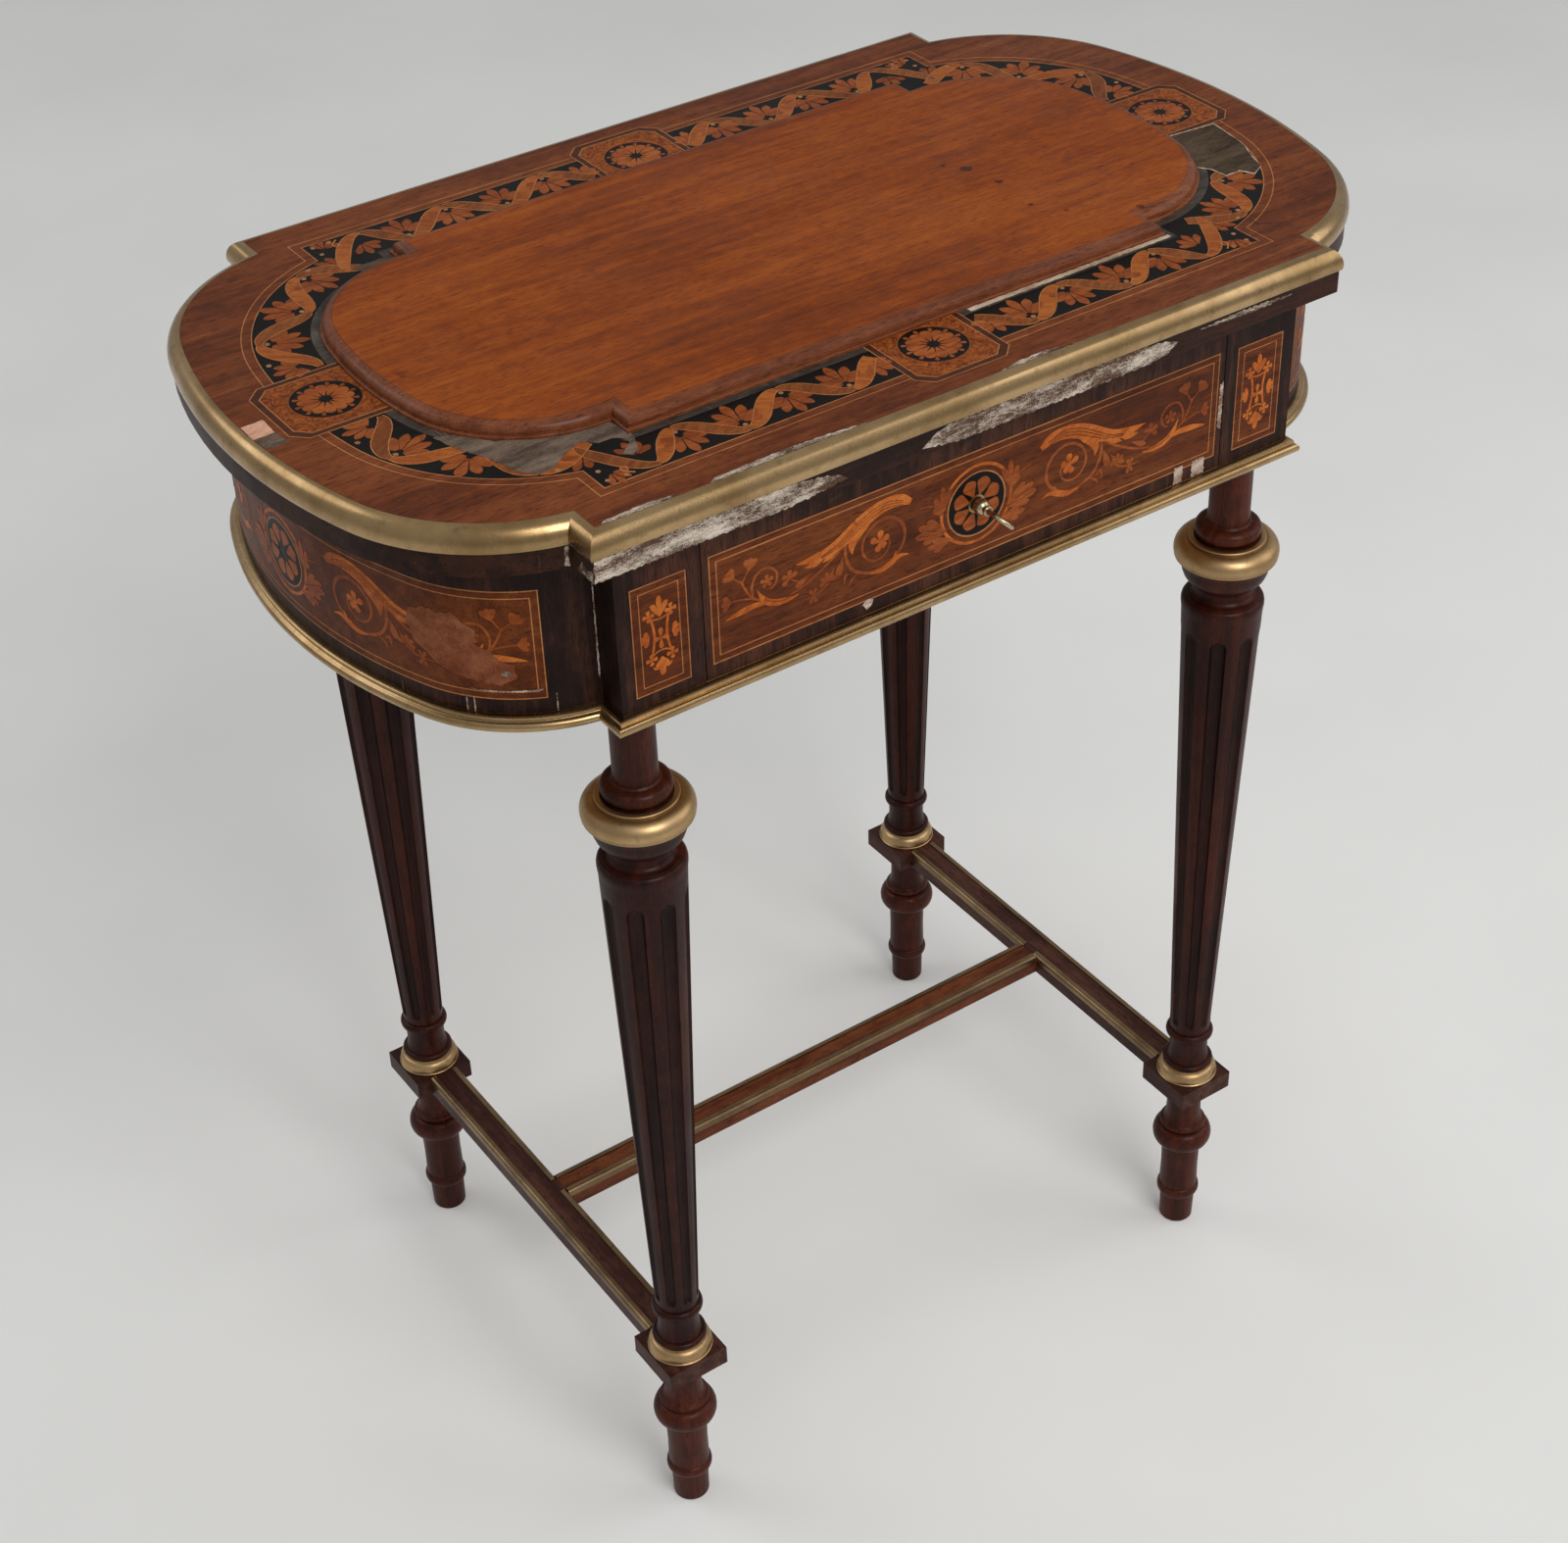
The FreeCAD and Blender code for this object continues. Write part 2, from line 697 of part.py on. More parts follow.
# Turned legs: eight flutes are run down the tapering shaft, and a tenon goes up through the
# bottom board into the corner post.
FLUTE_LOW = derived("flute_low", SHAFT_LOW + D.flute_low_margin)
FLUTE_RUN = derived("flute_run", D.shaft_height - D.flute_low_margin - D.flute_high_margin)
SHAFT_LEAN = derived("shaft_lean", (D.shaft_high_radius - D.shaft_low_radius) / D.shaft_height)
FLUTE_LOW_X = derived(
    "flute_low_x", D.shaft_low_radius + SHAFT_LEAN * D.flute_low_margin + D.flute_radius - D.flute_low_depth
)
FLUTE_HIGH_X = derived(
    "flute_high_x",
    D.shaft_high_radius - SHAFT_LEAN * D.flute_high_margin + D.flute_radius - D.flute_high_depth,
)
FLUTE_HIGH = derived("flute_high", FLUTE_LOW + FLUTE_RUN)
FLUTE_OUT = derived("flute_out", FLUTE_HIGH_X - FLUTE_LOW_X)
FLUTE_LENGTH = derived("flute_length", root(FLUTE_OUT * FLUTE_OUT + FLUTE_RUN * FLUTE_RUN))
FLUTE_X = derived("flute_x_share", FLUTE_OUT / FLUTE_LENGTH)
FLUTE_Z = derived("flute_z_share", FLUTE_RUN / FLUTE_LENGTH)
for corner, (side, end) in CORNERS.items():
    leg = doc.addObject("PartDesign::Body", "Leg")
    socket = D.foot_tenon_radius + D.seat_gap
    socket_depth = D.foot_tenon_length - D.stretcher_thickness + D.seat_gap
    drum_low = D.collar_height + D.base_ring_height
    bead_low = drum_low + D.drum_height
    cup_neck_low = SHAFT_TOP + D.head_height
    neck_low = TORUS_LOW + D.torus_height
    tenon_top = LEG_HEIGHT + D.leg_tenon_length
    profile = [(0, socket_depth), (socket, socket_depth), (socket, 0)]
    profile += [(D.collar_seat_radius, 0), (D.collar_seat_radius, D.collar_height)]
    profile += [(D.base_ring_radius, D.collar_height), (D.base_ring_radius, drum_low)]
    profile += [(D.drum_radius, drum_low), (D.drum_radius, bead_low)]
    profile += [(D.bead_radius, bead_low), (D.bead_radius, SHAFT_LOW)]
    profile += [(D.shaft_low_radius, SHAFT_LOW), (D.shaft_high_radius, SHAFT_TOP)]
    profile += bulge(D.head_radius, SHAFT_TOP, cup_neck_low, D.head_bulge)
    profile += [(D.cup_neck_radius, cup_neck_low), (D.cup_neck_radius, CUP_LOW)]
    profile += [(D.cup_low_radius, CUP_LOW), (D.cup_swell_radius, CUP_LOW + D.cup_swell_height)]
    profile += [(D.cup_radius, RING_LOW)]
    profile += [(D.ring_seat_radius, RING_LOW), (D.ring_seat_radius, TORUS_LOW)]
    profile += bulge(D.ring_seat_radius, TORUS_LOW, neck_low, D.torus_bulge)
    profile += [(D.neck_radius, neck_low), (D.neck_radius, LEG_HEIGHT)]
    profile += [(D.leg_tenon_radius, LEG_HEIGHT), (D.leg_tenon_radius, tenon_top), (0, tenon_top)]
    blank = turn(leg, draw(leg, "LegProfile", "XZ_Plane", profile))
    doc.recompute()
    cutter = draw(
        leg,
        "FluteCutter",
        "XZ_Plane",
        [
            (FLUTE_LOW_X, FLUTE_LOW),
            (FLUTE_LOW_X + FLUTE_Z * D.flute_radius, FLUTE_LOW - FLUTE_X * D.flute_radius),
            (FLUTE_HIGH_X + FLUTE_Z * D.flute_radius, FLUTE_HIGH - FLUTE_X * D.flute_radius),
            (FLUTE_HIGH_X, FLUTE_HIGH),
        ],
    )
    flute = leg.newObject("PartDesign::Groove", "Flute")
    flute.Profile = cutter
    flute.ReferenceAxis = (cutter, ["Edge4"])
    flute.Angle = 360
    doc.recompute()
    flutes = leg.newObject("PartDesign::PolarPattern", "Flutes")
    flutes.Originals = [flute]
    flutes.Axis = (blank.Profile[0], ["V_Axis"])
    flutes.Angle = 360
    flutes.Occurrences = FLUTE_COUNT
    leg.Tip = flutes
    place(leg, LEG_X * side, LEG_Y * end, BLOCK_TOP)
    piece(leg, f"leg_{corner}")

# Cast brass: a swelling ring round each leg under its neck and a collar where it meets the block.
rings = []
collars = []
for side, end in CORNERS.values():
    ring = doc.addObject("PartDesign::Body", "LegRing")
    bore = D.ring_seat_radius + D.seat_gap
    profile = [
        (bore, 0),
        (D.ring_foot_radius, 0),
        (D.ring_radius, D.ring_swell_height),
        (D.ring_swell_radius, D.ring_seat_height - D.ring_swell_drop),
        (D.ring_top_radius, D.ring_seat_height),
        (bore, D.ring_seat_height),
    ]
    turn(ring, draw(ring, "RingProfile", "XZ_Plane", profile))
    rings.append(place(ring, LEG_X * side, LEG_Y * end, BLOCK_TOP + RING_LOW))
    collar = doc.addObject("PartDesign::Body", "LegCollar")
    bore = D.collar_seat_radius + D.seat_gap
    profile = [
        (bore, 0),
        (D.collar_radius, 0),
        (D.collar_radius, D.collar_plinth_height),
        (D.collar_lip_radius, D.collar_height),
        (bore, D.collar_height),
    ]
    turn(collar, draw(collar, "CollarProfile", "XZ_Plane", profile))
    collars.append(place(collar, LEG_X * side, LEG_Y * end, BLOCK_TOP))
piece(joined("LegRings", "Part::Compound", rings), "leg_rings")
piece(joined("LegCollars", "Part::Compound", collars), "leg_collars")

# Bottom board: the leg tenons pass through it, and the drawer runs on it.
bottom = doc.addObject("PartDesign::Body", "BottomBoard")
tenon_hole = D.leg_tenon_radius + D.seat_gap
holes = [(LEG_X * side, LEG_Y * end, tenon_hole) for side, end in CORNERS.values()]
pad(bottom, draw(bottom, "BottomOutline", "XY_Plane", outline(APRON, 0), circles=holes), D.board_thickness)
place(bottom, 0, 0, BOARD_LOW)
piece(bottom, "bottom_board")

# Brass moulding mitred round the bottom board: a rounded nosing with a narrower bead above it.
moulding = doc.addObject("PartDesign::Body", "FriezeMoulding")
nosing = draw(moulding, "NosingOutline", "XY_Plane", outline(APRON, -D.moulding_proud))
nosing = pad(moulding, nosing, D.moulding_height)
bevel_level(moulding, nosing, D.moulding_height, D.moulding_bevel)
bead_height = D.board_thickness - D.moulding_height
bead = draw(moulding, "BeadOutline", "XY_Plane", outline(APRON, -D.bead_proud), offset=D.moulding_height)
pad(moulding, bead, bead_height)
inside = draw(moulding, "MouldingInside", "XY_Plane", outline(APRON, -D.seat_gap), offset=D.board_thickness)
pocket(moulding, inside, D.board_thickness + D.cut_overrun)
place(moulding, 0, 0, BOARD_LOW)
piece(moulding, "frieze_moulding")

# Corner posts between bottom board and lid, bored from below for the leg tenons.
POST_IN = derived("post_in", D.apron_half_depth - D.post_depth)
for corner, (side, end) in CORNERS.items():
    x_range = (OPENING_HALF, D.apron_half_front) if side > 0 else (-D.apron_half_front, -OPENING_HALF)
    y_range = (POST_IN, D.apron_half_depth) if end > 0 else (-D.apron_half_depth, -POST_IN)
    solid = block("PostBlank", (x_range[0], y_range[0], FRIEZE_LOW), (x_range[1], y_range[1], FRIEZE_TOP))
    depth = D.leg_tenon_length - D.board_thickness + D.seat_gap
    spot = (LEG_X * side, LEG_Y * end, FRIEZE_LOW)
    bore = rod("PostBore", tenon_hole, depth, spot, FreeCAD.Vector(0, 0, 1))
    piece(cut("Post", solid, bore), f"post_{corner}")

# Bowed end aprons, sawn to the curve and butted between the posts. The left is the right turned about.
for name, side in SIDES.items():
    apron = doc.addObject("PartDesign::Body", "EndApron")
    radius, end_radius, (meet_x, meet_y) = bowed_end(APRON, 0)
    in_radius, in_end_radius, (in_x, in_y) = bowed_end(APRON, D.apron_thickness)
    out_y = shoulder_y(APRON, 0, D.apron_half_front)
    inner_y = shoulder_y(APRON, D.apron_thickness, D.apron_half_front)
    shape = [
        (D.apron_half_front, -out_y, radius),
        (meet_x, -meet_y, end_radius),
        (meet_x, meet_y, radius),
        (D.apron_half_front, out_y),
        (D.apron_half_front, inner_y, -in_radius),
        (in_x, in_y, -in_end_radius),
        (in_x, -in_y, -in_radius),
        (D.apron_half_front, -inner_y),
    ]
    pad(apron, draw(apron, "ApronOutline", "XY_Plane", shape), D.frieze_height)
    apron.Placement.Rotation = FreeCAD.Rotation(FreeCAD.Vector(0, 0, 1), 0 if side > 0 else 180)
    place(apron, 0, 0, FRIEZE_LOW)
    piece(apron, f"end_apron_{name}")

# Back rail between the back posts.
BACK_IN = derived("back_in", D.apron_half_depth - D.back_rail_thickness)
back_rail = block(
    "BackRail", (-OPENING_HALF, BACK_IN, FRIEZE_LOW), (OPENING_HALF, D.apron_half_depth, FRIEZE_TOP)
)
piece(back_rail, "back_rail")

# Side bearers guide the drawer and carry the floor of the well.
for name, side in SIDES.items():
    x_low = OPENING_HALF if side > 0 else -OPENING_HALF - D.bearer_width
    bearer = block("Bearer", (x_low, -POST_IN, FRIEZE_LOW), (x_low + D.bearer_width, POST_IN, FLOOR_LOW))
    piece(bearer, f"side_bearer_{name}")

# Drawer stops glued to the bottom board just behind the drawer front.
FRONT_BACK = derived("front_back", D.drawer_front_thickness - D.apron_half_depth)
stops = []
for side in SIDES.values():
    x_mid = (OPENING_HALF - D.stop_inset) * side
    y_low = FRONT_BACK + D.running_gap
    low = (x_mid - D.stop_length / 2, y_low, FRIEZE_LOW)
    high = (x_mid + D.stop_length / 2, y_low + D.stop_depth, FRIEZE_LOW + D.stop_height)
    stops.append(block("Stop", low, high))
piece(joined("Stops", "Part::Compound", stops), "drawer_stops")

# Floor of the well, cut round the posts and to the bow of the ends.
floor = doc.addObject("PartDesign::Body", "WellFloor")
FLOOR_INSET = derived("floor_inset", D.apron_thickness + D.seat_gap)
FLOOR_FRONT = derived("floor_front", FRONT_BACK + D.drawer_gap)
FLOOR_HALF = derived("floor_half", OPENING_HALF - D.seat_gap)
FLOOR_SIDE = derived("floor_side", POST_IN - D.seat_gap)
FLOOR_BACK = derived("floor_back", BACK_IN - D.seat_gap)
floor_radius, floor_end, (floor_x, floor_y) = bowed_end(APRON, FLOOR_INSET)
floor_rise = FLOOR_SIDE - APRON.y
floor_run = root(floor_radius * floor_radius - floor_rise * floor_rise)
FLOOR_SHOULDER = derived("floor_shoulder", APRON.x + floor_run)
shape = [
    (-FLOOR_HALF, FLOOR_FRONT),
    (FLOOR_HALF, FLOOR_FRONT),
    (FLOOR_HALF, -FLOOR_SIDE),
    (FLOOR_SHOULDER, -FLOOR_SIDE, floor_radius),
    (floor_x, -floor_y, floor_end),
    (floor_x, floor_y, floor_radius),
    (FLOOR_SHOULDER, FLOOR_SIDE),
    (FLOOR_HALF, FLOOR_SIDE),
    (FLOOR_HALF, FLOOR_BACK),
    (-FLOOR_HALF, FLOOR_BACK),
    (-FLOOR_HALF, FLOOR_SIDE),
    (-FLOOR_SHOULDER, FLOOR_SIDE, floor_radius),
    (-floor_x, floor_y, floor_end),
    (-floor_x, -floor_y, floor_radius),
    (-FLOOR_SHOULDER, -FLOOR_SIDE),
    (-FLOOR_HALF, -FLOOR_SIDE),
]
pad(floor, draw(floor, "FloorOutline", "XY_Plane", shape), D.floor_thickness)
place(floor, 0, 0, FLOOR_LOW)
piece(floor, "well_floor")

# Front of the well, behind the drawer front, and two dividers across the well.
WELL_FRONT_IN = derived("well_front_in", FLOOR_FRONT + D.well_front_thickness)
well_front = block(
    "WellFront",
    (-FLOOR_HALF, FLOOR_FRONT, WELL_LOW),
    (FLOOR_HALF, WELL_FRONT_IN, FRIEZE_TOP - D.running_gap),
)
piece(well_front, "well_front")
DIVIDER_X = derived("divider_x", OPENING_HALF - D.tray_width)
for name, side in SIDES.items():
    x_low = DIVIDER_X * side - D.divider_thickness / 2
    low = (x_low, WELL_FRONT_IN, WELL_LOW)
    high = (x_low + D.divider_thickness, FLOOR_BACK, FRIEZE_TOP - D.divider_drop)
    piece(block("Divider", low, high), f"well_divider_{name}")

# Lid board: dark edge below, a shoulder for the brass, and recesses below for mirror and hinges.
HINGE_X = derived("hinge_x", OPENING_HALF - D.hinge_inset)
HINGE_Y = derived("hinge_y", D.apron_half_depth + D.hinge_standoff)
HINGE_Z = derived("hinge_z", LID_LOW - D.running_gap - D.barrel_radius)
lid = doc.addObject("PartDesign::Body", "LidBoard")
pad(lid, draw(lid, "LidEdge", "XY_Plane", outline(LID, D.lid_edge_inset)), D.lid_edge_height)
core = draw(lid, "LidCore", "XY_Plane", outline(LID, D.brass_width), offset=D.lid_edge_height)
pad(lid, core, D.lid_board_thickness - D.lid_edge_height)
MIRROR_HALF = derived("mirror_half", D.apron_half_front - D.mirror_side_margin)
MIRROR_DEPTH = derived("mirror_depth", D.apron_half_depth - D.mirror_front_margin)
mirror_x = MIRROR_HALF + D.seat_gap
mirror_y = MIRROR_DEPTH + D.seat_gap
recess = draw(lid, "MirrorRecess", "XY_Plane", rectangle(-mirror_x, -mirror_y, mirror_x, mirror_y))
pocket(lid, recess, D.mirror_thickness + D.seat_gap, upward=True)
leaf_half = D.hinge_width / 2 + D.seat_gap
leaf_front = HINGE_Y - D.lid_leaf_reach - D.seat_gap
leaf_back = LID_DEPTH + D.cut_overrun
recess = draw(
    lid,
    "HingeRecess",
    "XY_Plane",
    rectangle(HINGE_X - leaf_half, leaf_front, HINGE_X + leaf_half, leaf_back),
    rectangle(-HINGE_X - leaf_half, leaf_front, -HINGE_X + leaf_half, leaf_back),
)
pocket(lid, recess, D.lid_leaf_thickness + D.seat_gap, upward=True)
BOLT_Y = derived("bolt_y", FRONT_BACK - D.lock_depth / 2)
bolt_x = D.bolt_half_width + D.running_gap
bolt_y = D.bolt_thickness / 2 + D.running_gap
recess = draw(lid, "BoltMortise", "XY_Plane", rectangle(-bolt_x, BOLT_Y - bolt_y, bolt_x, BOLT_Y + bolt_y))
pocket(lid, recess, D.bolt_mortise_depth, upward=True)
place(lid, 0, 0, LID_LOW)
piece(lid, "lid_board")

# Half-round brass moulding, mitred at the steps, on the shoulder of the lid board.
brass = doc.addObject("PartDesign::Body", "LidBrass")
BRASS_HEIGHT = derived("brass_height", D.lid_board_thickness + D.border_thickness - D.lid_edge_height)
hoop = pad(brass, draw(brass, "BrassOutline", "XY_Plane", outline(LID, 0)), BRASS_HEIGHT)
bevel_level(brass, hoop, BRASS_HEIGHT, D.brass_bevel)
inside = draw(brass, "BrassInside", "XY_Plane", outline(LID, D.brass_width - D.seat_gap), offset=BRASS_HEIGHT)
pocket(brass, inside, BRASS_HEIGHT + D.cut_overrun)
place(brass, 0, 0, BRASS_LOW)
piece(brass, "lid_brass")

# Veneered border laid on the lid board between the brass and the raised panel.
border = doc.addObject("PartDesign::Body", "LidBorder")
ring = draw(
    border, "BorderOutline", "XY_Plane", outline(LID, D.brass_width), outline(PANEL, -D.seat_gap)
)
pad(border, ring, D.border_thickness)
place(border, 0, 0, VENEER_LOW)
piece(border, "lid_border")

# Raised panel with an ovolo run round its top edge.
panel = doc.addObject("PartDesign::Body", "LidPanel")
field = pad(panel, draw(panel, "PanelOutline", "XY_Plane", outline(PANEL, 0)), D.panel_thickness)
bevel_level(panel, field, D.panel_thickness, D.panel_bevel)
place(panel, 0, 0, VENEER_LOW)
piece(panel, "lid_panel")

# Mirror let into the underside of the lid and held by four frame bars lapped over its edge.
glass = block(
    "Mirror",
    (-MIRROR_HALF, -MIRROR_DEPTH, LID_LOW),
    (MIRROR_HALF, MIRROR_DEPTH, LID_LOW + D.mirror_thickness),
)
piece(glass, "mirror")
sight_x = MIRROR_HALF - D.frame_lap
sight_y = MIRROR_DEPTH - D.frame_lap
frame_low = LID_LOW - D.frame_thickness
bars = []
for side in SIDES.values():
    y_low = sight_y if side > 0 else -sight_y - D.frame_width
    low = (-sight_x - D.frame_width, y_low, frame_low)
    high = (sight_x + D.frame_width, y_low + D.frame_width, LID_LOW)
    bars.append(block("LongBar", low, high))
    x_low = sight_x if side > 0 else -sight_x - D.frame_width
    bars.append(block("ShortBar", (x_low, -sight_y, frame_low), (x_low + D.frame_width, sight_y, LID_LOW)))
piece(joined("MirrorFrame", "Part::Compound", bars), "mirror_frame")

# Back hinges. The carcase leaf is screwed to the back rail and ends in two barrels; the lid leaf is let
# into the lid, carries the middle barrel and runs on behind the pin as the stop of the open lid.
for name, side in SIDES.items():
    x_mid = HINGE_X * side
    x_low = x_mid - D.hinge_width / 2
    x_high = x_mid + D.hinge_width / 2
    back_face = D.apron_half_depth
    bore_radius = D.hinge_pin_radius + D.pin_gap
    along = FreeCAD.Vector(1, 0, 0)
    plate_top = HINGE_Z - D.barrel_radius - D.running_gap
    plate_low = HINGE_Z - D.carcase_leaf_drop
    plate_back = back_face + D.carcase_leaf_thickness
    shapes = [block("LeafPlate", (x_low, back_face, plate_low), (x_high, plate_back, plate_top))]
    ear = (D.hinge_width - D.lid_barrel_length) / 2 - D.running_gap
    for ear_low in (x_low, x_high - ear):
        shapes.append(block("LeafEar", (ear_low, back_face, plate_top), (ear_low + ear, HINGE_Y, HINGE_Z)))
        shapes.append(rod("LeafBarrel", D.barrel_radius, ear, (ear_low, HINGE_Y, HINGE_Z), along))
    leaf = joined("CarcaseLeafBlank", "Part::MultiFuse", shapes)
    bore = rod("LeafBore", bore_radius, D.hinge_width, (x_low, HINGE_Y, HINGE_Z), along)
    piece(cut("CarcaseLeaf", leaf, bore), f"hinge_carcase_leaf_{name}")
    half = D.lid_barrel_length / 2
    plate_low = (x_low, HINGE_Y - D.lid_leaf_reach, LID_LOW)
    plate_high = (x_high, HINGE_Y + D.lid_leaf_tail, LID_LOW + D.lid_leaf_thickness)
    shapes = [block("LidLeafPlate", plate_low, plate_high)]
    neck_low = (x_mid - half, HINGE_Y - D.barrel_radius, HINGE_Z)
    shapes.append(block("LidLeafNeck", neck_low, (x_mid + half, HINGE_Y + D.barrel_radius, LID_LOW)))
    barrel = (x_mid - half, HINGE_Y, HINGE_Z)
    shapes.append(rod("LidBarrel", D.barrel_radius, D.lid_barrel_length, barrel, along))
    leaf = joined("LidLeafBlank", "Part::MultiFuse", shapes)
    bore = rod("LidLeafBore", bore_radius, D.lid_barrel_length, barrel, along)
    piece(cut("LidLeaf", leaf, bore), f"hinge_lid_leaf_{name}")
    pin = rod("HingePin", D.hinge_pin_radius, D.hinge_width, (x_low, HINGE_Y, HINGE_Z), along)
    piece(pin, f"hinge_pin_{name}")

# Drawer front: laps for the sides, a groove for the bottom, the lock's mortise, a slot that the bolt rises
# through, and the keyhole.
DRAWER_HALF = derived("drawer_half", OPENING_HALF - D.drawer_gap)
DRAWER_LOW = derived("drawer_low", FRIEZE_LOW + D.running_gap)
DRAWER_BACK = derived("drawer_back", BACK_IN - D.drawer_back_room)
SIDE_TOP = derived("side_top", DRAWER_LOW + D.drawer_side_height)
SIDE_IN = derived("side_in", DRAWER_HALF - D.drawer_side_thickness)
DRAWER_FLOOR = derived("drawer_floor", DRAWER_LOW + D.drawer_bottom_rise)
FLOOR_TOP = derived("floor_top", DRAWER_FLOOR + D.drawer_bottom_thickness)
LOCK_LOW = derived("lock_low", KEY_Z - D.lock_drop)
LOCK_TOP = derived("lock_top", LOCK_LOW + D.lock_height)
BIT_LOW = derived("bit_low", FRONT_BACK - D.lock_depth)
front_top = FRIEZE_TOP - D.running_gap
front_low = (-DRAWER_HALF, -D.apron_half_depth, DRAWER_LOW)
front = block("FrontBlank", front_low, (DRAWER_HALF, FRONT_BACK, front_top))
lap_y = FRONT_BACK - D.drawer_lap - D.seat_gap
past = FRONT_BACK + D.cut_overrun
tools = []
for side in SIDES.values():
    x_low = SIDE_IN - D.seat_gap if side > 0 else -DRAWER_HALF - D.cut_overrun
    x_high = DRAWER_HALF + D.cut_overrun if side > 0 else D.seat_gap - SIDE_IN
    low = (x_low, lap_y, DRAWER_LOW - D.cut_overrun)
    tools.append(block("LapTool", low, (x_high, past, SIDE_TOP + D.seat_gap)))
groove_low = DRAWER_FLOOR - D.seat_gap
groove_top = FLOOR_TOP + D.seat_gap
groove_y = FRONT_BACK - D.drawer_groove_depth - D.seat_gap
tools.append(block("FrontGroove", (-SIDE_IN, groove_y, groove_low), (SIDE_IN, past, groove_top)))
lock_x = D.lock_half_width + D.seat_gap
lock_y = BIT_LOW - D.seat_gap
low = (-lock_x, lock_y, LOCK_LOW - D.seat_gap)
tools.append(block("LockMortise", low, (lock_x, past, LOCK_TOP + D.seat_gap)))
slot_x = D.bolt_half_width + D.seat_gap
slot_y = D.bolt_thickness / 2 + D.seat_gap
slot_low = (-slot_x, BOLT_Y - slot_y, KEY_Z)
slot_high = (slot_x, BOLT_Y + slot_y, front_top + D.cut_overrun)
tools.append(block("BoltSlot", slot_low, slot_high))
key_start = (0, -D.apron_half_depth - D.cut_overrun, KEY_Z)
hole_length = D.drawer_front_thickness
inward = FreeCAD.Vector(0, 1, 0)
tools.append(rod("KeyBore", D.shank_radius + D.pin_gap, hole_length, key_start, inward))
slit_low = (-D.keyhole_half_width, key_start[1], KEY_Z - D.bit_reach - D.running_gap)
tools.append(block("KeySlit", slit_low, (D.keyhole_half_width, lock_y + D.seat_gap, KEY_Z)))
piece(cut("DrawerFront", front, *tools), "drawer_front")

# Drawer sides, lapped into the front and grooved for the bottom.
for name, side in SIDES.items():
    x_low = SIDE_IN if side > 0 else -DRAWER_HALF
    blank = block(
        "SideBlank",
        (x_low, FRONT_BACK - D.drawer_lap, DRAWER_LOW),
        (x_low + D.drawer_side_thickness, DRAWER_BACK, SIDE_TOP),
    )
    groove_in = SIDE_IN - D.cut_overrun if side > 0 else -SIDE_IN - D.drawer_groove_depth - D.seat_gap
    groove_out = groove_in + D.drawer_groove_depth + D.seat_gap + D.cut_overrun
    low = (groove_in, FRONT_BACK - D.drawer_lap - D.cut_overrun, groove_low)
    groove = block("SideGroove", low, (groove_out, DRAWER_BACK + D.cut_overrun, groove_top))
    piece(cut("DrawerSide", blank, groove), f"drawer_side_{name}")

# Drawer back between the sides, above the bottom, which slides in under it.
back_low = (-SIDE_IN, DRAWER_BACK - D.drawer_back_thickness, groove_top)
piece(block("DrawerBackBoard", back_low, (SIDE_IN, DRAWER_BACK, SIDE_TOP)), "drawer_back")
bottom_half = SIDE_IN + D.drawer_groove_depth
bottom_low = (-bottom_half, FRONT_BACK - D.drawer_groove_depth, DRAWER_FLOOR)
piece(block("DrawerBottom", bottom_low, (bottom_half, DRAWER_BACK, FLOOR_TOP)), "drawer_bottom")

# Lock: a case let into the back of the drawer front, hollow where the key's bit turns, and a tall bolt.
case = block("CaseBlank", (-D.lock_half_width, BIT_LOW, LOCK_LOW), (D.lock_half_width, FRONT_BACK, LOCK_TOP))
ward_start = (0, BIT_LOW - D.cut_overrun, KEY_Z)
ward_length = D.lock_depth - D.lock_wall + D.cut_overrun
ward = rod("WardHollow", D.ward_radius, ward_length, ward_start, inward)
slot = block("CaseSlot", slot_low, slot_high)
piece(cut("LockCase", case, ward, slot), "lock_case")
bolt_low = (-D.bolt_half_width, BOLT_Y - D.bolt_thickness / 2, KEY_Z + D.bolt_rise)
bolt_high = (D.bolt_half_width, BOLT_Y + D.bolt_thickness / 2, front_top - D.running_gap)
piece(block("LockBolt", bolt_low, bolt_high), "lock_bolt")

# Key: turned shank, ball and collar, a flat pierced bow and a bit that turns in the lock case.
key = doc.addObject("PartDesign::Body", "Key")
ball_low = D.running_gap
ball_top = ball_low + D.key_ball_height
collar_low = ball_top + D.key_throat_height
collar_top = collar_low + D.key_collar_height
tip = D.shank_length + D.running_gap
profile = [(0, -tip), (D.shank_radius, -tip), (D.shank_radius, ball_low)]
profile += bevelled(D.key_ball_radius, ball_low, ball_top, D.key_ball_bevel)
profile += [(D.key_throat_radius, ball_top), (D.key_throat_radius, collar_low)]
profile += [(D.key_collar_radius, collar_low), (D.key_collar_radius, collar_top), (0, collar_top)]
turn(key, draw(key, "KeyProfile", "XZ_Plane", profile))
bow_mid = collar_top + D.bow_length / 2
bow_top = collar_top + D.bow_length
hole_half = D.bow_half_width - D.bow_rim
hole_round = D.bow_round - D.bow_rim
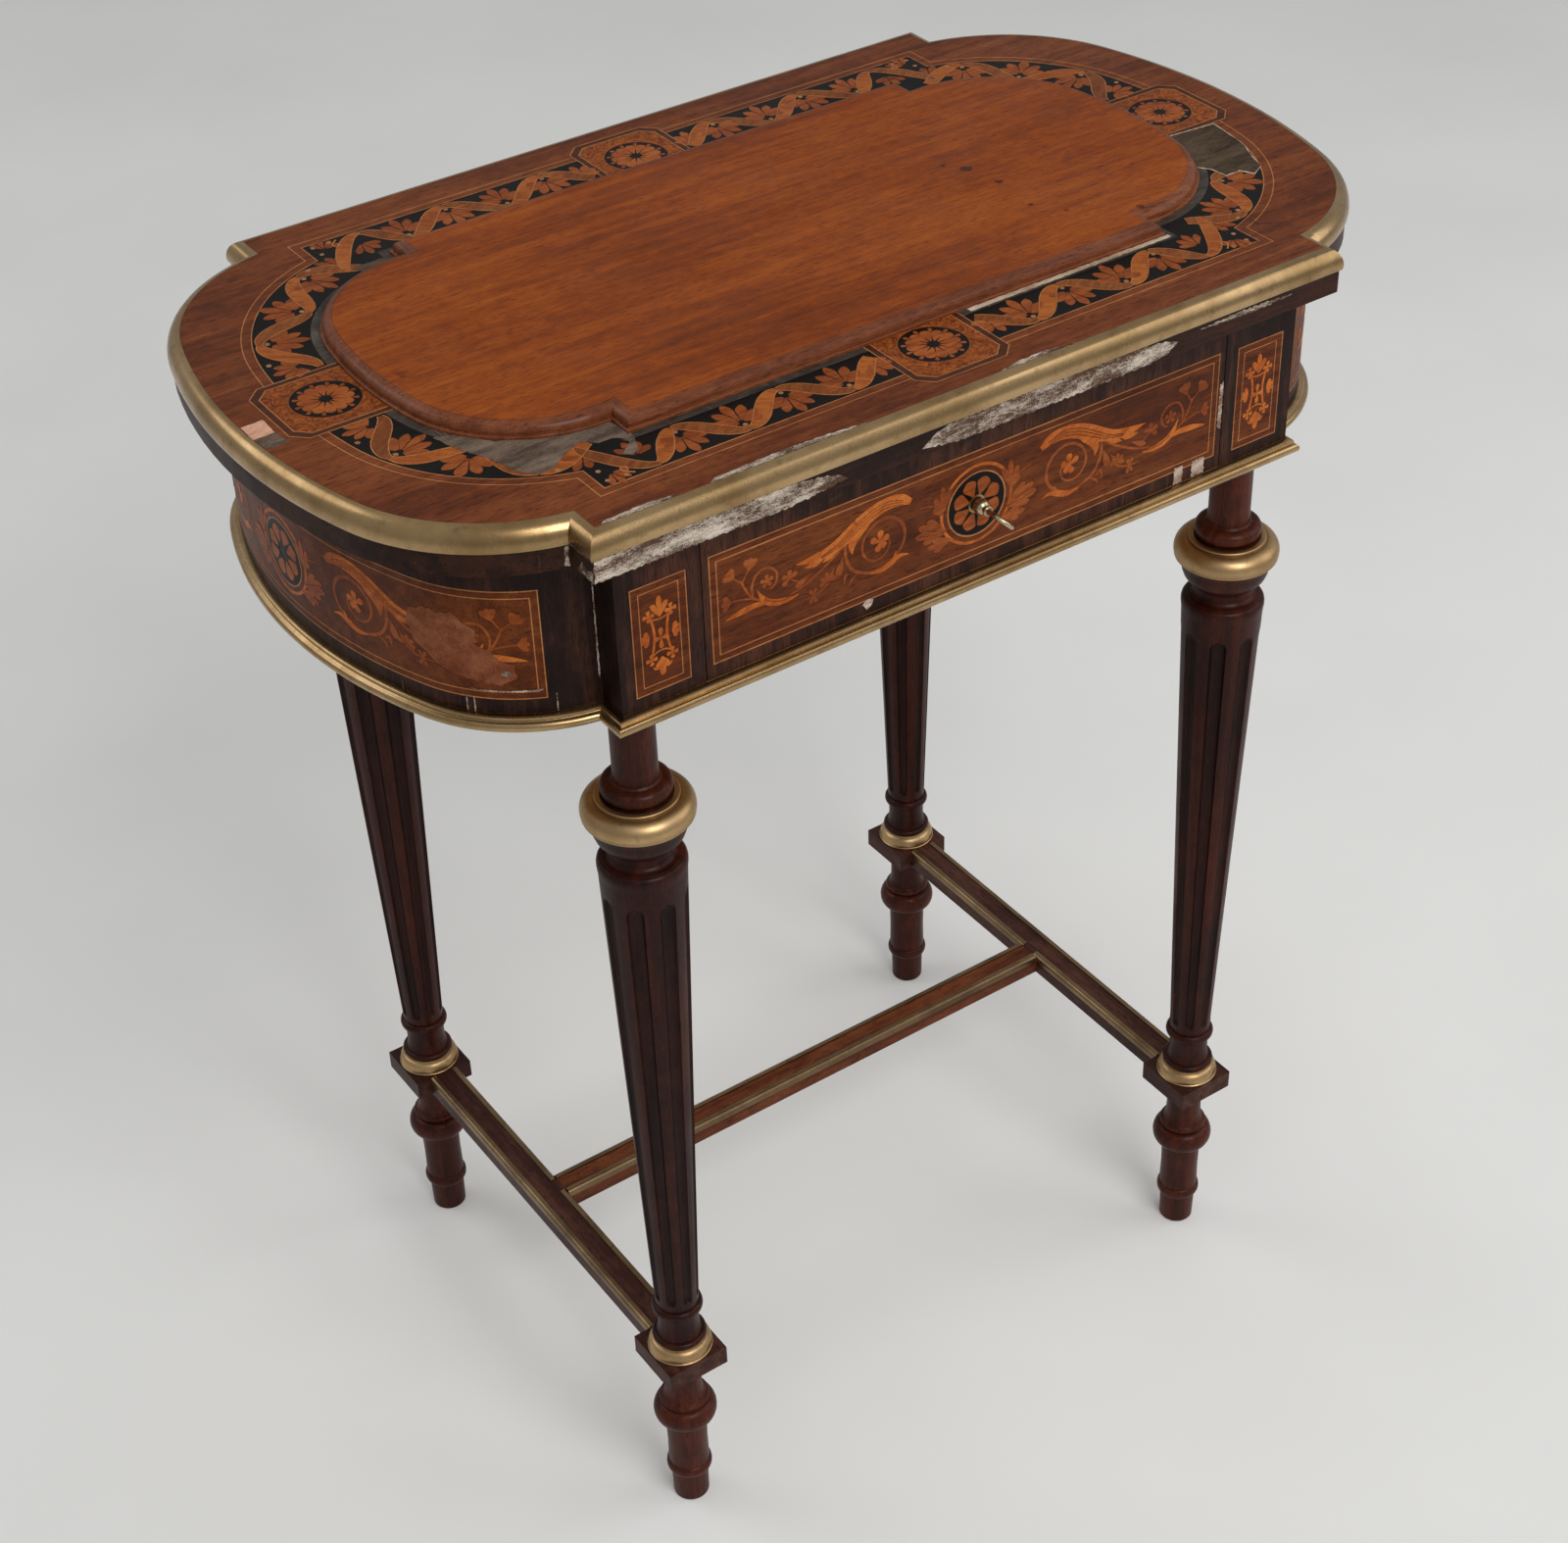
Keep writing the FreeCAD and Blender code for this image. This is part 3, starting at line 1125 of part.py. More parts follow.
bow = draw(
    key,
    "KeyBow",
    "XZ_Plane",
    [
        (0, collar_top - D.key_throat_height, D.bow_round),
        (D.bow_half_width, bow_mid, D.bow_round),
        (0, bow_top, D.bow_round),
        (-D.bow_half_width, bow_mid, D.bow_round),
    ],
    [
        (0, collar_top + D.bow_rim, hole_round),
        (hole_half, bow_mid, hole_round),
        (0, bow_top - D.bow_rim, hole_round),
        (-hole_half, bow_mid, hole_round),
    ],
    offset=-D.bow_thickness / 2,
)
pad(key, bow, D.bow_thickness)
bit = rectangle(0, -tip, D.bit_reach, D.bit_width - tip)
pad(key, draw(key, "KeyBit", "XZ_Plane", bit, offset=-D.bit_thickness / 2), D.bit_thickness)
outward = FreeCAD.Rotation(FreeCAD.Vector(1, 0, 0), 90)
key.Placement.Rotation = FreeCAD.Rotation(FreeCAD.Vector(0, 1, 0), BOW_TURN) * outward
place(key, 0, -D.apron_half_depth, KEY_Z)
piece(key, "key")

doc.recompute()
os.makedirs("parts", exist_ok=True)
for item in doc.Objects:
    if "Invalid" in item.State or "Error" in item.State:
        raise RuntimeError(f"{item.Name} ({item.Label}) did not build: {item.State}")
for item in PIECES:
    if item.Shape.isNull() or not item.Shape.isValid():
        raise RuntimeError(f"{item.Label} has no valid shape")
    item.Shape.exportStep(f"parts/{item.Label}.step")
print(len(PIECES), "pieces written")
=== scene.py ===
from math import atan2, cos, hypot, pi, radians, sin, sqrt

import bmesh
import bpy
from mathutils import Matrix, Vector


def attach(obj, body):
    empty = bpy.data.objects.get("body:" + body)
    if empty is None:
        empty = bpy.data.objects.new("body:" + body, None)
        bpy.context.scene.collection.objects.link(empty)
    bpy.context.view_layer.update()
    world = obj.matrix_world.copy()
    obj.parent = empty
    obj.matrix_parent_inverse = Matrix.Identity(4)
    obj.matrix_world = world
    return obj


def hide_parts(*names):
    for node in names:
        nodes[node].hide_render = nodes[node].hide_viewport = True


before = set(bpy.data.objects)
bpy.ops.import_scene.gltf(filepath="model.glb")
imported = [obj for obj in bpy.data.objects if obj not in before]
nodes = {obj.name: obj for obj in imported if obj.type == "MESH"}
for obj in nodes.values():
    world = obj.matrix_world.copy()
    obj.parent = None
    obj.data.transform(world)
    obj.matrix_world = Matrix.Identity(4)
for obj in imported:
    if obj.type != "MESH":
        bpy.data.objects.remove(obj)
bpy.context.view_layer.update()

# Feet: four turned feet of solid rosewood, each with a toe, a small ring, an ankle and a ball.
# They are cut on the lathe in one piece with the tenon that goes up through the stretcher block.
# The old polish is rubbed and finely scratched.
MM = 0.001
SHARP = 35
LEG_SPOTS = {
    "front_left": (-200, -155),
    "front_right": (200, -155),
    "back_left": (-200, 155),
    "back_right": (200, 155),
}


def tone(red, green, blue):
    """Colour as seen on a screen, in bytes, turned into the linear values that shaders take."""
    parts = [value / 255 for value in (red, green, blue)]
    return tuple(p / 12.92 if p <= 0.04045 else ((p + 0.055) / 1.055) ** 2.4 for p in parts) + (1,)


def feed(tree, socket, value):
    """Links another socket to this one, or sets a plain value on it."""
    if isinstance(value, bpy.types.NodeSocket):
        tree.links.new(value, socket)
    else:
        socket.default_value = value


def add(tree, kind, made=None, **inputs):
    """New shader node, or a node group already made, with the inputs of those names fed."""
    node = tree.nodes.new(kind)
    if made:
        node.node_tree = made
    for name, value in inputs.items():
        feed(tree, node.inputs[name], value)
    return node


def speckle(tree, vector, scale, detail=3, roughness=0.5, distortion=0):
    """Cloudy noise between 0 and 1, stretched by a scale for each axis."""
    spread = add(tree, "ShaderNodeVectorMath", Vector=vector)
    spread.operation = "MULTIPLY"
    spread.inputs[1].default_value = scale
    noise = add(tree, "ShaderNodeTexNoise", Vector=spread.outputs[0], Scale=1, Detail=detail)
    feed(tree, noise.inputs["Roughness"], roughness)
    feed(tree, noise.inputs["Distortion"], distortion)
    return noise.outputs["Fac"]


def ramp(tree, value, low, high, to_low=0, to_high=1):
    """Value spread from one range to another and held inside it."""
    node = add(tree, "ShaderNodeMapRange", Value=value)
    for name, number in zip(("From Min", "From Max", "To Min", "To Max"), (low, high, to_low, to_high)):
        feed(tree, node.inputs[name], number)
    return node.outputs["Result"]


def calc(tree, operation, first, second):
    """Two values added, multiplied or otherwise reckoned together."""
    node = tree.nodes.new("ShaderNodeMath")
    node.operation = operation
    feed(tree, node.inputs[0], first)
    feed(tree, node.inputs[1], second)
    return node.outputs[0]


def mixed(tree, share, first, second):
    """Two colours mixed by a share."""
    node = tree.nodes.new("ShaderNodeMix")
    node.data_type = "RGBA"
    for number, value in ((0, share), (6, first), (7, second)):
        feed(tree, node.inputs[number], value)
    return node.outputs[2]


def group(name, inputs, outputs):
    """Empty shader node group: its tree, what it is given and where its results go."""
    tree = bpy.data.node_groups.new(name, "ShaderNodeTree")
    for way, sockets in (("INPUT", inputs), ("OUTPUT", outputs)):
        for label, kind in sockets:
            tree.interface.new_socket(label, in_out=way, socket_type="NodeSocket" + kind)
    given = tree.nodes.new("NodeGroupInput").outputs
    return tree, [given[label] for label, kind in inputs], tree.nodes.new("NodeGroupOutput").inputs


# Figure of sawn wood with the grain along X: clouds, streaks, mottle, fine lines, open pores and knots.
FIGURE, (along, dark, middle, light), result = group(
    "wood_figure",
    [("Vector", "Vector"), ("Dark", "Color"), ("Middle", "Color"), ("Light", "Color")],
    [("Color", "Color"), ("Height", "Float")],
)
clouds = speckle(FIGURE, along, (5, 16, 16), 2)
streaks = speckle(FIGURE, along, (9, 150, 150), 5, 0.6, 0.5)
mottle = speckle(FIGURE, along, (60, 90, 90), 4, 0.65, 0.4)
lines = speckle(FIGURE, along, (40, 900, 900), 3, 0.6)
pores = speckle(FIGURE, along, (170, 1500, 1500), 2, 0.5)
knots = speckle(FIGURE, along, (34, 46, 46), 3, 0.6, 0.8)
figure = calc(
    FIGURE, "ADD", calc(FIGURE, "MULTIPLY", clouds, 0.32), calc(FIGURE, "MULTIPLY", streaks, 0.42)
)
figure = calc(FIGURE, "ADD", figure, calc(FIGURE, "MULTIPLY", mottle, 0.26))
colour = mixed(FIGURE, ramp(FIGURE, figure, 0.3, 0.5), dark, middle)
colour = mixed(FIGURE, ramp(FIGURE, figure, 0.48, 0.7), colour, light)
for marks, low, high, most in (
    (lines, 0.52, 0.72, 0.45), (pores, 0.56, 0.66, 0.7), (knots, 0.69, 0.76, 0.7)
):
    colour = mixed(FIGURE, ramp(FIGURE, marks, low, high, 0, most), colour, dark)
feed(FIGURE, result["Color"], colour)
feed(FIGURE, result["Height"], ramp(FIGURE, pores, 0.55, 0.7, 1, 0))

# Age of a polished surface: scuffs, dull patches and fine scratches.
AGE, (spot, colour, wear, worn), result = group(
    "old_polish",
    [("Vector", "Vector"), ("Color", "Color"), ("Wear", "Float"), ("Worn", "Color")],
    [("Color", "Color"), ("Roughness", "Float"), ("Scratches", "Float")],
)
patches = speckle(AGE, spot, (14, 14, 14), 5, 0.65)
scuffs = speckle(AGE, spot, (90, 90, 90), 6, 0.7)
nicks = speckle(AGE, spot, (420, 60, 420), 2, 0.5, 1.5)
scrapes = speckle(AGE, spot, (60, 700, 90), 2, 0.5, 0.8)
rubbed = calc(AGE, "MULTIPLY", ramp(AGE, patches, 0.52, 0.75), ramp(AGE, scuffs, 0.45, 0.7))
rubbed = calc(AGE, "MULTIPLY", rubbed, wear)
scratch = calc(AGE, "MAXIMUM", ramp(AGE, nicks, 0.68, 0.74), ramp(AGE, scrapes, 0.69, 0.75))
scratch = calc(AGE, "MULTIPLY", scratch, wear)
worn_share = calc(AGE, "MINIMUM", calc(AGE, "ADD", rubbed, calc(AGE, "MULTIPLY", scratch, 0.5)), 1)
feed(AGE, result["Color"], mixed(AGE, worn_share, colour, worn))
feed(AGE, result["Roughness"], ramp(AGE, calc(AGE, "ADD", patches, rubbed), 0.3, 0.9, 0.34, 0.62))
feed(AGE, result["Scratches"], scratch)


def shader(name):
    """New material: its tree, its surface shader and the place on the piece."""
    material = bpy.data.materials.new(name)
    material.use_nodes = True
    tree = material.node_tree
    tree.nodes.clear()
    output = tree.nodes.new("ShaderNodeOutputMaterial")
    surface = tree.nodes.new("ShaderNodeBsdfPrincipled")
    tree.links.new(surface.outputs["BSDF"], output.inputs["Surface"])
    return material, tree, surface.inputs, add(tree, "ShaderNodeTexCoord").outputs["Object"]


def surfaced(tree, surface, colour, roughness, relief, strength, distance=0.0002):
    """Feeds a surface its colour, its roughness and its fine relief."""
    bump = add(tree, "ShaderNodeBump", Height=relief, Strength=strength, Distance=distance)
    feed(tree, surface["Base Color"], colour)
    feed(tree, surface["Roughness"], roughness)
    feed(tree, surface["Normal"], bump.outputs["Normal"])


def wood(name, dark, middle, light, grain=(0, 0, 0), wear=0.5, worn=(122, 84, 60), polish=0.02, scale=1):
    """Polished wood; grain is the turn in degrees that lays the figure along the piece."""
    material, tree, surface, spot = shader(name)
    along = add(tree, "ShaderNodeMapping", Vector=spot)
    along.inputs["Rotation"].default_value = [radians(angle) for angle in grain]
    along.inputs["Scale"].default_value = (scale, scale, scale)
    tones = {"Dark": tone(*dark), "Middle": tone(*middle), "Light": tone(*light)}
    figure = add(tree, "ShaderNodeGroup", FIGURE, Vector=along.outputs["Vector"], **tones).outputs
    colours = {"Color": figure["Color"], "Worn": tone(*worn)}
    aged = add(tree, "ShaderNodeGroup", AGE, Vector=spot, Wear=wear, **colours).outputs
    relief = calc(tree, "SUBTRACT", figure["Height"], aged["Scratches"])
    surfaced(tree, surface, aged["Color"], aged["Roughness"], relief, 0.25)
    surface["Specular IOR Level"].default_value = 0.1
    surface["Coat Weight"].default_value = polish
    surface["Coat Roughness"].default_value = 0.16
    return material


def bead(radius, low, high, depth, count=8):
    """Rounded ring of a turned profile."""
    middle, half = (low + high) / 2, (high - low) / 2
    angles = [pi * (step / count - 0.5) for step in range(count + 1)]
    return [(radius - depth + depth * cos(a), middle + half * sin(a)) for a in angles]


def turned(profile, steps):
    """Lathe work: a half profile of radius and height in millimetres, swung about the upright axis."""
    bm = bmesh.new()
    spots = [bm.verts.new((radius, 0, height)) for radius, height in profile]
    edges = [bm.edges.new(pair) for pair in zip(spots, spots[1:])]
    bmesh.ops.spin(
        bm, geom=spots + edges, axis=(0, 0, 1), cent=(0, 0, 0), angle=2 * pi, steps=steps, use_merge=True
    )
    bmesh.ops.remove_doubles(bm, verts=bm.verts, dist=0.001)
    return bm


def shifted(bm, x, y, z):
    """Moves a whole mesh."""
    bmesh.ops.translate(bm, vec=(x, y, z), verts=bm.verts)


def swung(bm, degrees, axis):
    """Turns a whole mesh about an axis through the origin."""
    turn = Matrix.Rotation(radians(degrees), 3, axis)
    bmesh.ops.rotate(bm, cent=(0, 0, 0), matrix=turn, verts=bm.verts)


def built(bm, name, material, body, slot, *stands_for):
    """Finished piece from a mesh in millimetres: smooth but for its sharp edges, riding on a body."""
    bmesh.ops.scale(bm, vec=(MM, MM, MM), verts=bm.verts)
    bmesh.ops.recalc_face_normals(bm, faces=bm.faces)
    mesh = bpy.data.meshes.new(name)
    bm.to_mesh(mesh)
    bm.free()
    mesh.polygons.foreach_set("use_smooth", [True] * len(mesh.polygons))
    mesh.set_sharp_from_angle(angle=radians(SHARP))
    mesh.materials.append(material)
    made = bpy.data.objects.new(name, mesh)
    bpy.context.scene.collection.objects.link(made)
    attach(made, body)
    if stands_for:
        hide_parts(*stands_for)
    return made


# Red rosewood of the feet; the same material is also put on the leg necks as painted light.
RED_WOOD_AND_NECK_LIGHT = wood(
    "red_rosewood_and_painted_neck_light", (20, 6, 3), (62, 23, 11), (98, 43, 23), grain=(0, 90, 0), wear=0.2, polish=0.1
)
foot_profile = [(0, 0), (10.4, 0), (11, 0.8), (11.5, 22.6), (12, 23)]
foot_profile += bead(14.1, 23.2, 31.4, 2.4) + [(12.6, 31.8), (12.3, 50), (12.7, 69.4), (13.8, 70.2)]
foot_profile += bead(19.4, 70.4, 86.4, 5.8, 14) + [(13.8, 86.8)] + bead(15.2, 87, 90.8, 1.6)
foot_profile += [(13.2, 91.2), (12, 93), (11.4, 97), (11.2, 106), (11.3, 122), (7, 122), (7, 152), (0, 152)]
for corner, (x, y) in LEG_SPOTS.items():
    foot = turned(foot_profile, 64)
    shifted(foot, x, y, 0)
    built(foot, f"turned_foot_{corner}", RED_WOOD_AND_NECK_LIGHT, "carcase", "leg_wood", f"foot_{corner}")

# Stretcher: two end rails with square blocks and a centre rail tenoned between them, veneered in
# rosewood with the grain along each rail. The tops are scuffed by shoes and paler than the legs.
RAIL_WOOD = wood("rail_rosewood", (26, 12, 10), (62, 33, 26), (104, 66, 52), grain=(0, 0, 90), wear=0.5)
CENTRE_WOOD = wood("centre_rosewood", (38, 15, 8), (88, 42, 21), (128, 72, 40), wear=0.4)


def dress(material, *labels):
    """Gives CAD nodes their finish."""
    for label in labels:
        slots = nodes[label].data.materials
        slots.clear()
        slots.append(material)


dress(RAIL_WOOD, "stretcher_end_left", "stretcher_end_right")
dress(CENTRE_WOOD, "stretcher_centre")


# Brass strips: drawn brass let into the top edges of the stretcher rails, rounded outwards.
# Handling has left them bright on the round and brown in the hollows.
def metal(name, bright, dull, stain, rough=(0.28, 0.5)):
    """Old metal: bright where rubbed, brown where tarnished, with drawn scratches."""
    material, tree, surface, spot = shader(name)
    film = speckle(tree, spot, (22, 22, 22), 6, 0.65)
    spots = speckle(tree, spot, (160, 160, 160), 4, 0.6)
    drawn = speckle(tree, spot, (900, 900, 900), 2, 0.5)
    colour = mixed(tree, ramp(tree, film, 0.38, 0.66), tone(*bright), tone(*dull))
    colour = mixed(tree, ramp(tree, spots, 0.58, 0.74, 0, 0.4), colour, tone(*stain))
    gloss = ramp(tree, calc(tree, "ADD", film, calc(tree, "MULTIPLY", drawn, 0.4)), 0.5, 0.95, *rough)
    surfaced(tree, surface, colour, gloss, calc(tree, "ADD", spots, drawn), 0.03)
    surface["Metallic"].default_value = 1
    return material


BRASS = metal("old_brass", (178, 149, 108), (142, 114, 76), rough=(0.19, 0.36), stain=(88, 64, 44))
SATIN_BRASS = metal("satin_brass", (184, 154, 112), (148, 118, 80), rough=(0.34, 0.5), stain=(84, 60, 40))
STRIP_BRASS = metal("strip_brass", (138, 114, 84), (104, 84, 62), rough=(0.3, 0.5), stain=(70, 52, 38))
dress(STRIP_BRASS, "stretcher_brass_left", "stretcher_brass_right", "stretcher_brass_centre")

# Legs: turned rosewood, tapering to the foot, with eight flutes run down each shaft by hand.
# Each ends in a tenon that goes up through the bottom board into the corner post.
SHAFT_LOW, SHAFT_HIGH = 174.4, 502.8
FLUTE_LOW, FLUTE_HIGH = 180, 491
FLUTES, FLUTE_SPREAD = 8, 12
STEPS_PER_FLUTE, STEPS_IN_FLUTE = 26, 16
NECK_LOW = 552.6
SHAFT_STEPS = 96


def shaft_radius(height):
    return 13 + (23.6 - 13) * (height - SHAFT_LOW) / (SHAFT_HIGH - SHAFT_LOW)


def shaft_heights():
    """Rings of the shaft, closer together where the flutes end."""
    heights = []
    for step in range(SHAFT_STEPS + 1):
        share = step / SHAFT_STEPS
        eased = share - 0.11 * sin(2 * pi * share)
        heights.append(SHAFT_LOW + (SHAFT_HIGH - SHAFT_LOW) * eased)
    return heights


leg_profile = [(0, 152.1), (7.1, 152.1), (7.1, 135), (11.5, 135), (11.5, 144)]
leg_profile += bead(16.3, 144.2, 148.6, 2.6) + [
    (13.7, 149), (13, 150.6), (12.5, 153), (12.3, 158), (12.4, 163), (12.9, 166.7)
]
leg_profile += bead(15.3, 167, 173.6, 2.6)
leg_profile += [(shaft_radius(height), height) for height in shaft_heights()]
leg_profile += [
    (23.9, 505), (24.1, 507), (24.1, 508.6), (23.8, 510), (23.1, 511.2), (22.2, 511.9), (21.4, 512.1)
]
leg_profile += [
    (21.2, 512.5), (20.6, 512.7), (19.4, 512.8), (18.2, 513.4), (17.2, 514.6), (16.6, 516), (16.3, 518)
]
leg_profile += [(16.6, 520.4), (17.6, 521.8), (18.4, 522.6)]
leg_profile += [
    (20, 523), (21.8, 524), (23.6, 526.4), (24.8, 529.6), (25.4, 533), (25.8, 536.4), (26.5, 537.2)
]
leg_profile += [(26.5, 539), (19.2, 539), (19.2, 552.5)] + bead(19.2, 552.7, 561.8, 3.6)
leg_profile += [
    (13.4, 562), (12.4, 563), (12, 570), (12, 600), (12.3, 608), (12.6, 611), (9, 611), (9, 649), (0, 649)
]


def fluted(bm):
    """Draws the shaft in along eight round-ended flutes, and sorts the faces into three materials: the
    shaft, the flutes in darker wood as painted shade, and the neck in redder wood as painted light."""
    sector = 2 * pi / FLUTES
    spread = radians(FLUTE_SPREAD)
    inner = STEPS_IN_FLUTE / STEPS_PER_FLUTE
    for vert in bm.verts:
        x, y, z = vert.co
        radius = hypot(x, y)
        if not SHAFT_LOW - 0.1 < z < SHAFT_HIGH + 0.1 or abs(radius - shaft_radius(z)) > 0.2:
            continue
        angle = atan2(y, x)
        nearest = round(angle / sector) * sector
        share = (angle - nearest) / (sector / 2)
        size = abs(share)
        if size < inner:
            off = size / inner * spread
        else:
            off = spread + (size - inner) / (1 - inner) * (sector / 2 - spread)
        round_end = spread * radius
        rise = min(max(min(FLUTE_HIGH - z, z - FLUTE_LOW), 0), round_end)
        width = spread * sqrt(1 - (1 - rise / round_end) ** 2)
        depth = 0
        if off < width:
            depth = (1.9 + 1.7 * (z - SHAFT_LOW) / (SHAFT_HIGH - SHAFT_LOW)) * sqrt(1 - (off / width) ** 2)
            depth *= width / spread
        angle = nearest + (off if share >= 0 else -off)
        vert.co = ((radius - depth) * cos(angle), (radius - depth) * sin(angle), z)
    # Flute faces take a darker copy of the shaft wood, painted shade in their hollows; neck faces take the
    # redder wood, painted light.
    for face in bm.faces:
        x, y, z = face.calc_center_median()
        if z > NECK_LOW:
            face.material_index = 2
        elif FLUTE_LOW < z < FLUTE_HIGH and hypot(x, y) < shaft_radius(z) - 0.5:
            face.material_index = 1


SHAFT_WOOD = wood(
    "shaft_rosewood", (13, 3, 1), (45, 13, 5), (78, 30, 14), grain=(0, 90, 0), wear=0.15, polish=0.1
)
# Darker copy of the shaft wood for the flute faces: painted shade in the hollows of the flutes.
FLUTE_SHADE_WOOD = wood(
    "flute_painted_shade", (8, 2, 1), (32, 9, 4), (58, 22, 11), grain=(0, 90, 0), wear=0.1, polish=0.05
)
for corner, (x, y) in LEG_SPOTS.items():
    leg = turned(leg_profile, FLUTES * STEPS_PER_FLUTE)
    fluted(leg)
    shifted(leg, x, y, 0)
    leg = built(leg, f"fluted_leg_{corner}", SHAFT_WOOD, "carcase", "leg_wood", f"leg_{corner}")
    leg.data.materials.append(FLUTE_SHADE_WOOD)
    # The neck slot takes the red foot wood: painted light on the necks.
    leg.data.materials.append(RED_WOOD_AND_NECK_LIGHT)


# Leg brasses: a cast swelling ring round each leg under its neck, and a small collar where the leg
# stands on the stretcher block. They are turned, slipped over the leg and left unlacquered.
def join(bm, other):
    """Takes another mesh into this one."""
    mesh = bpy.data.meshes.new("joined")
    other.to_mesh(mesh)
    other.free()
    bm.from_mesh(mesh)
    bpy.data.meshes.remove(mesh)


def at_legs(profile, steps):
    """One turned shape repeated on the four leg axes."""
    bm = bmesh.new()
    for x, y in LEG_SPOTS.values():
        ring = turned(profile, steps)
        shifted(ring, x, y, 0)
        join(bm, ring)
    return bm


ring_profile = [(19.3, 539), (29, 539), (29.7, 539.3), (29.9, 539.9), (29.7, 540.5)]
ring_profile += [(23.2 + 7.1 * cos(radians(a)), 543 + 7.8 * sin(radians(a))) for a in range(-12, 91, 6)]
ring_profile += [(22.6, 550.6)] + bead(22.4, 550.9, 552.4, 0.7) + [
    (21.4, 552.5), (19.3, 552.5), (19.3, 539)
]
built(at_legs(ring_profile, 64), "leg_ring_brass", SATIN_BRASS, "carcase", "brass", "leg_rings")
collar_profile = [(11.6, 135), (19.4, 135), (19.6, 135.3), (19.6, 136), (19.1, 136.4)]
collar_profile += [(14.8 + 4.3 * cos(radians(a)), 136.6 + 6.6 * sin(radians(a))) for a in range(0, 76, 5)]
collar_profile += [(15.6, 142.8), (15.3, 143.4)] + bead(15.4, 143.4, 144, 0.4, 4) + [
    (11.6, 144), (11.6, 135)
]
built(at_legs(collar_profile, 64), "leg_collar_brass", SATIN_BRASS, "carcase", "brass", "leg_collars")

# Bottom board: a plain pale board under the frieze, seen from below and in the empty drawer opening.
# It was planed but never polished.
CARCASE_WOOD = wood("carcase_oak", (112, 80, 48), (158, 122, 80), (188, 154, 108), wear=0.4, polish=0)
dress(CARCASE_WOOD, "bottom_board")


# Frieze moulding: cast brass in lengths, mitred at the steps and pinned round the bottom board.
# A nosing below and a narrow bead above catch the light all round the table.
def bowed(front, depth, step, length, end, angle, grow, count=24):
    """Bowed right end of a stepped outline, from front to back, grown outwards by a distance."""
    lean = radians(angle)
    meet = Vector((length - end + end * cos(lean), end * sin(lean)))
    corner = Vector((front, depth - step))
    run = meet - corner
    radius = run.length_squared / (2 * (run.x * cos(lean) + run.y * sin(lean)))
    centre = meet - radius * Vector((cos(lean), sin(lean)))
    wide = radius + grow
    start = atan2(sqrt(wide**2 - (front + grow - centre.x) ** 2), front + grow - centre.x)
    quarter = []
    for number in range(count + 1):
        turn = start + (lean - start) * number / count
        quarter.append((centre.x + wide * cos(turn), centre.y + wide * sin(turn)))
    for number in range(1, count // 2 + 1):
        turn = lean * (1 - number / (count // 2))
        quarter.append((length - end + (end + grow) * cos(turn), (end + grow) * sin(turn)))
    return [(x, -y) for x, y in quarter] + quarter[-2::-1]


def stepped(shape, grow):
    """Whole stepped outline with both bowed ends, anticlockwise, grown outwards by a distance."""
    front, depth = shape[0] + grow, shape[1] + grow
    half = [(front, -depth)] + bowed(*shape, grow) + [(front, depth)]
    return half + [(-x, y) for x, y in reversed(half)]


# Half front, half depth, corner step, half length, radius and half angle of the bowed end.
APRON = (217, 177, 18, 306, 285, 21.7)


def lofted(loops):
    """Skin drawn from one closed loop of points to the next by extruding its edges."""
    bm = bmesh.new()
    row = first = [bm.verts.new(spot) for spot in loops[0]]
    edges = [bm.edges.new(pair) for pair in zip(row, row[1:] + row[:1])]
    for loop in loops[1:]:
        order = {vert: number for number, vert in enumerate(row)}
        made = bmesh.ops.extrude_edge_only(bm, edges=edges)["geom"]
        edges = [item for item in made if isinstance(item, bmesh.types.BMEdge)]
        fresh = [item for item in made if isinstance(item, bmesh.types.BMVert)]
        row = [None] * len(order)
        for vert in fresh:
            partner = next(e.other_vert(vert) for e in vert.link_edges if e.other_vert(vert) in order)
            vert.co = loop[order[partner]]
            row[order[partner]] = vert
    return bm, first, row


def capped(loops):
    """Skin of loops closed at both ends."""
    bm, first, last = lofted(loops)
    bmesh.ops.contextual_create(bm, geom=first)
    bmesh.ops.contextual_create(bm, geom=last)
    return bm


def swept(loops):
    """Skin of loops whose last is the first again."""
    bm = lofted(loops)[0]
    bmesh.ops.remove_doubles(bm, verts=bm.verts, dist=0.001)
    return bm


def moulding(shape, section):
    """Mitred moulding: a closed section of outward distance and height, carried round an outline."""
    return swept(
        [[(x, y, height) for x, y in stepped(shape, out)] for out, height in section + section[:1]]
    )


nosing = [
    (0.1, 611), (4.4, 611), (5.2, 611.4), (5.8, 612.3), (6, 613.4), (5.8, 614.5), (5.2, 615.4), (4.4, 615.9)
]
nosing += [
    (3.4, 616.2), (3.1, 616.5), (3.4, 616.9), (3.5, 617.6), (3.2, 618.4), (2.4, 618.9), (1.6, 619),
    (0.1, 619)
]
built(moulding(APRON, nosing), "frieze_moulding_brass", BRASS, "carcase", "brass", "frieze_moulding")

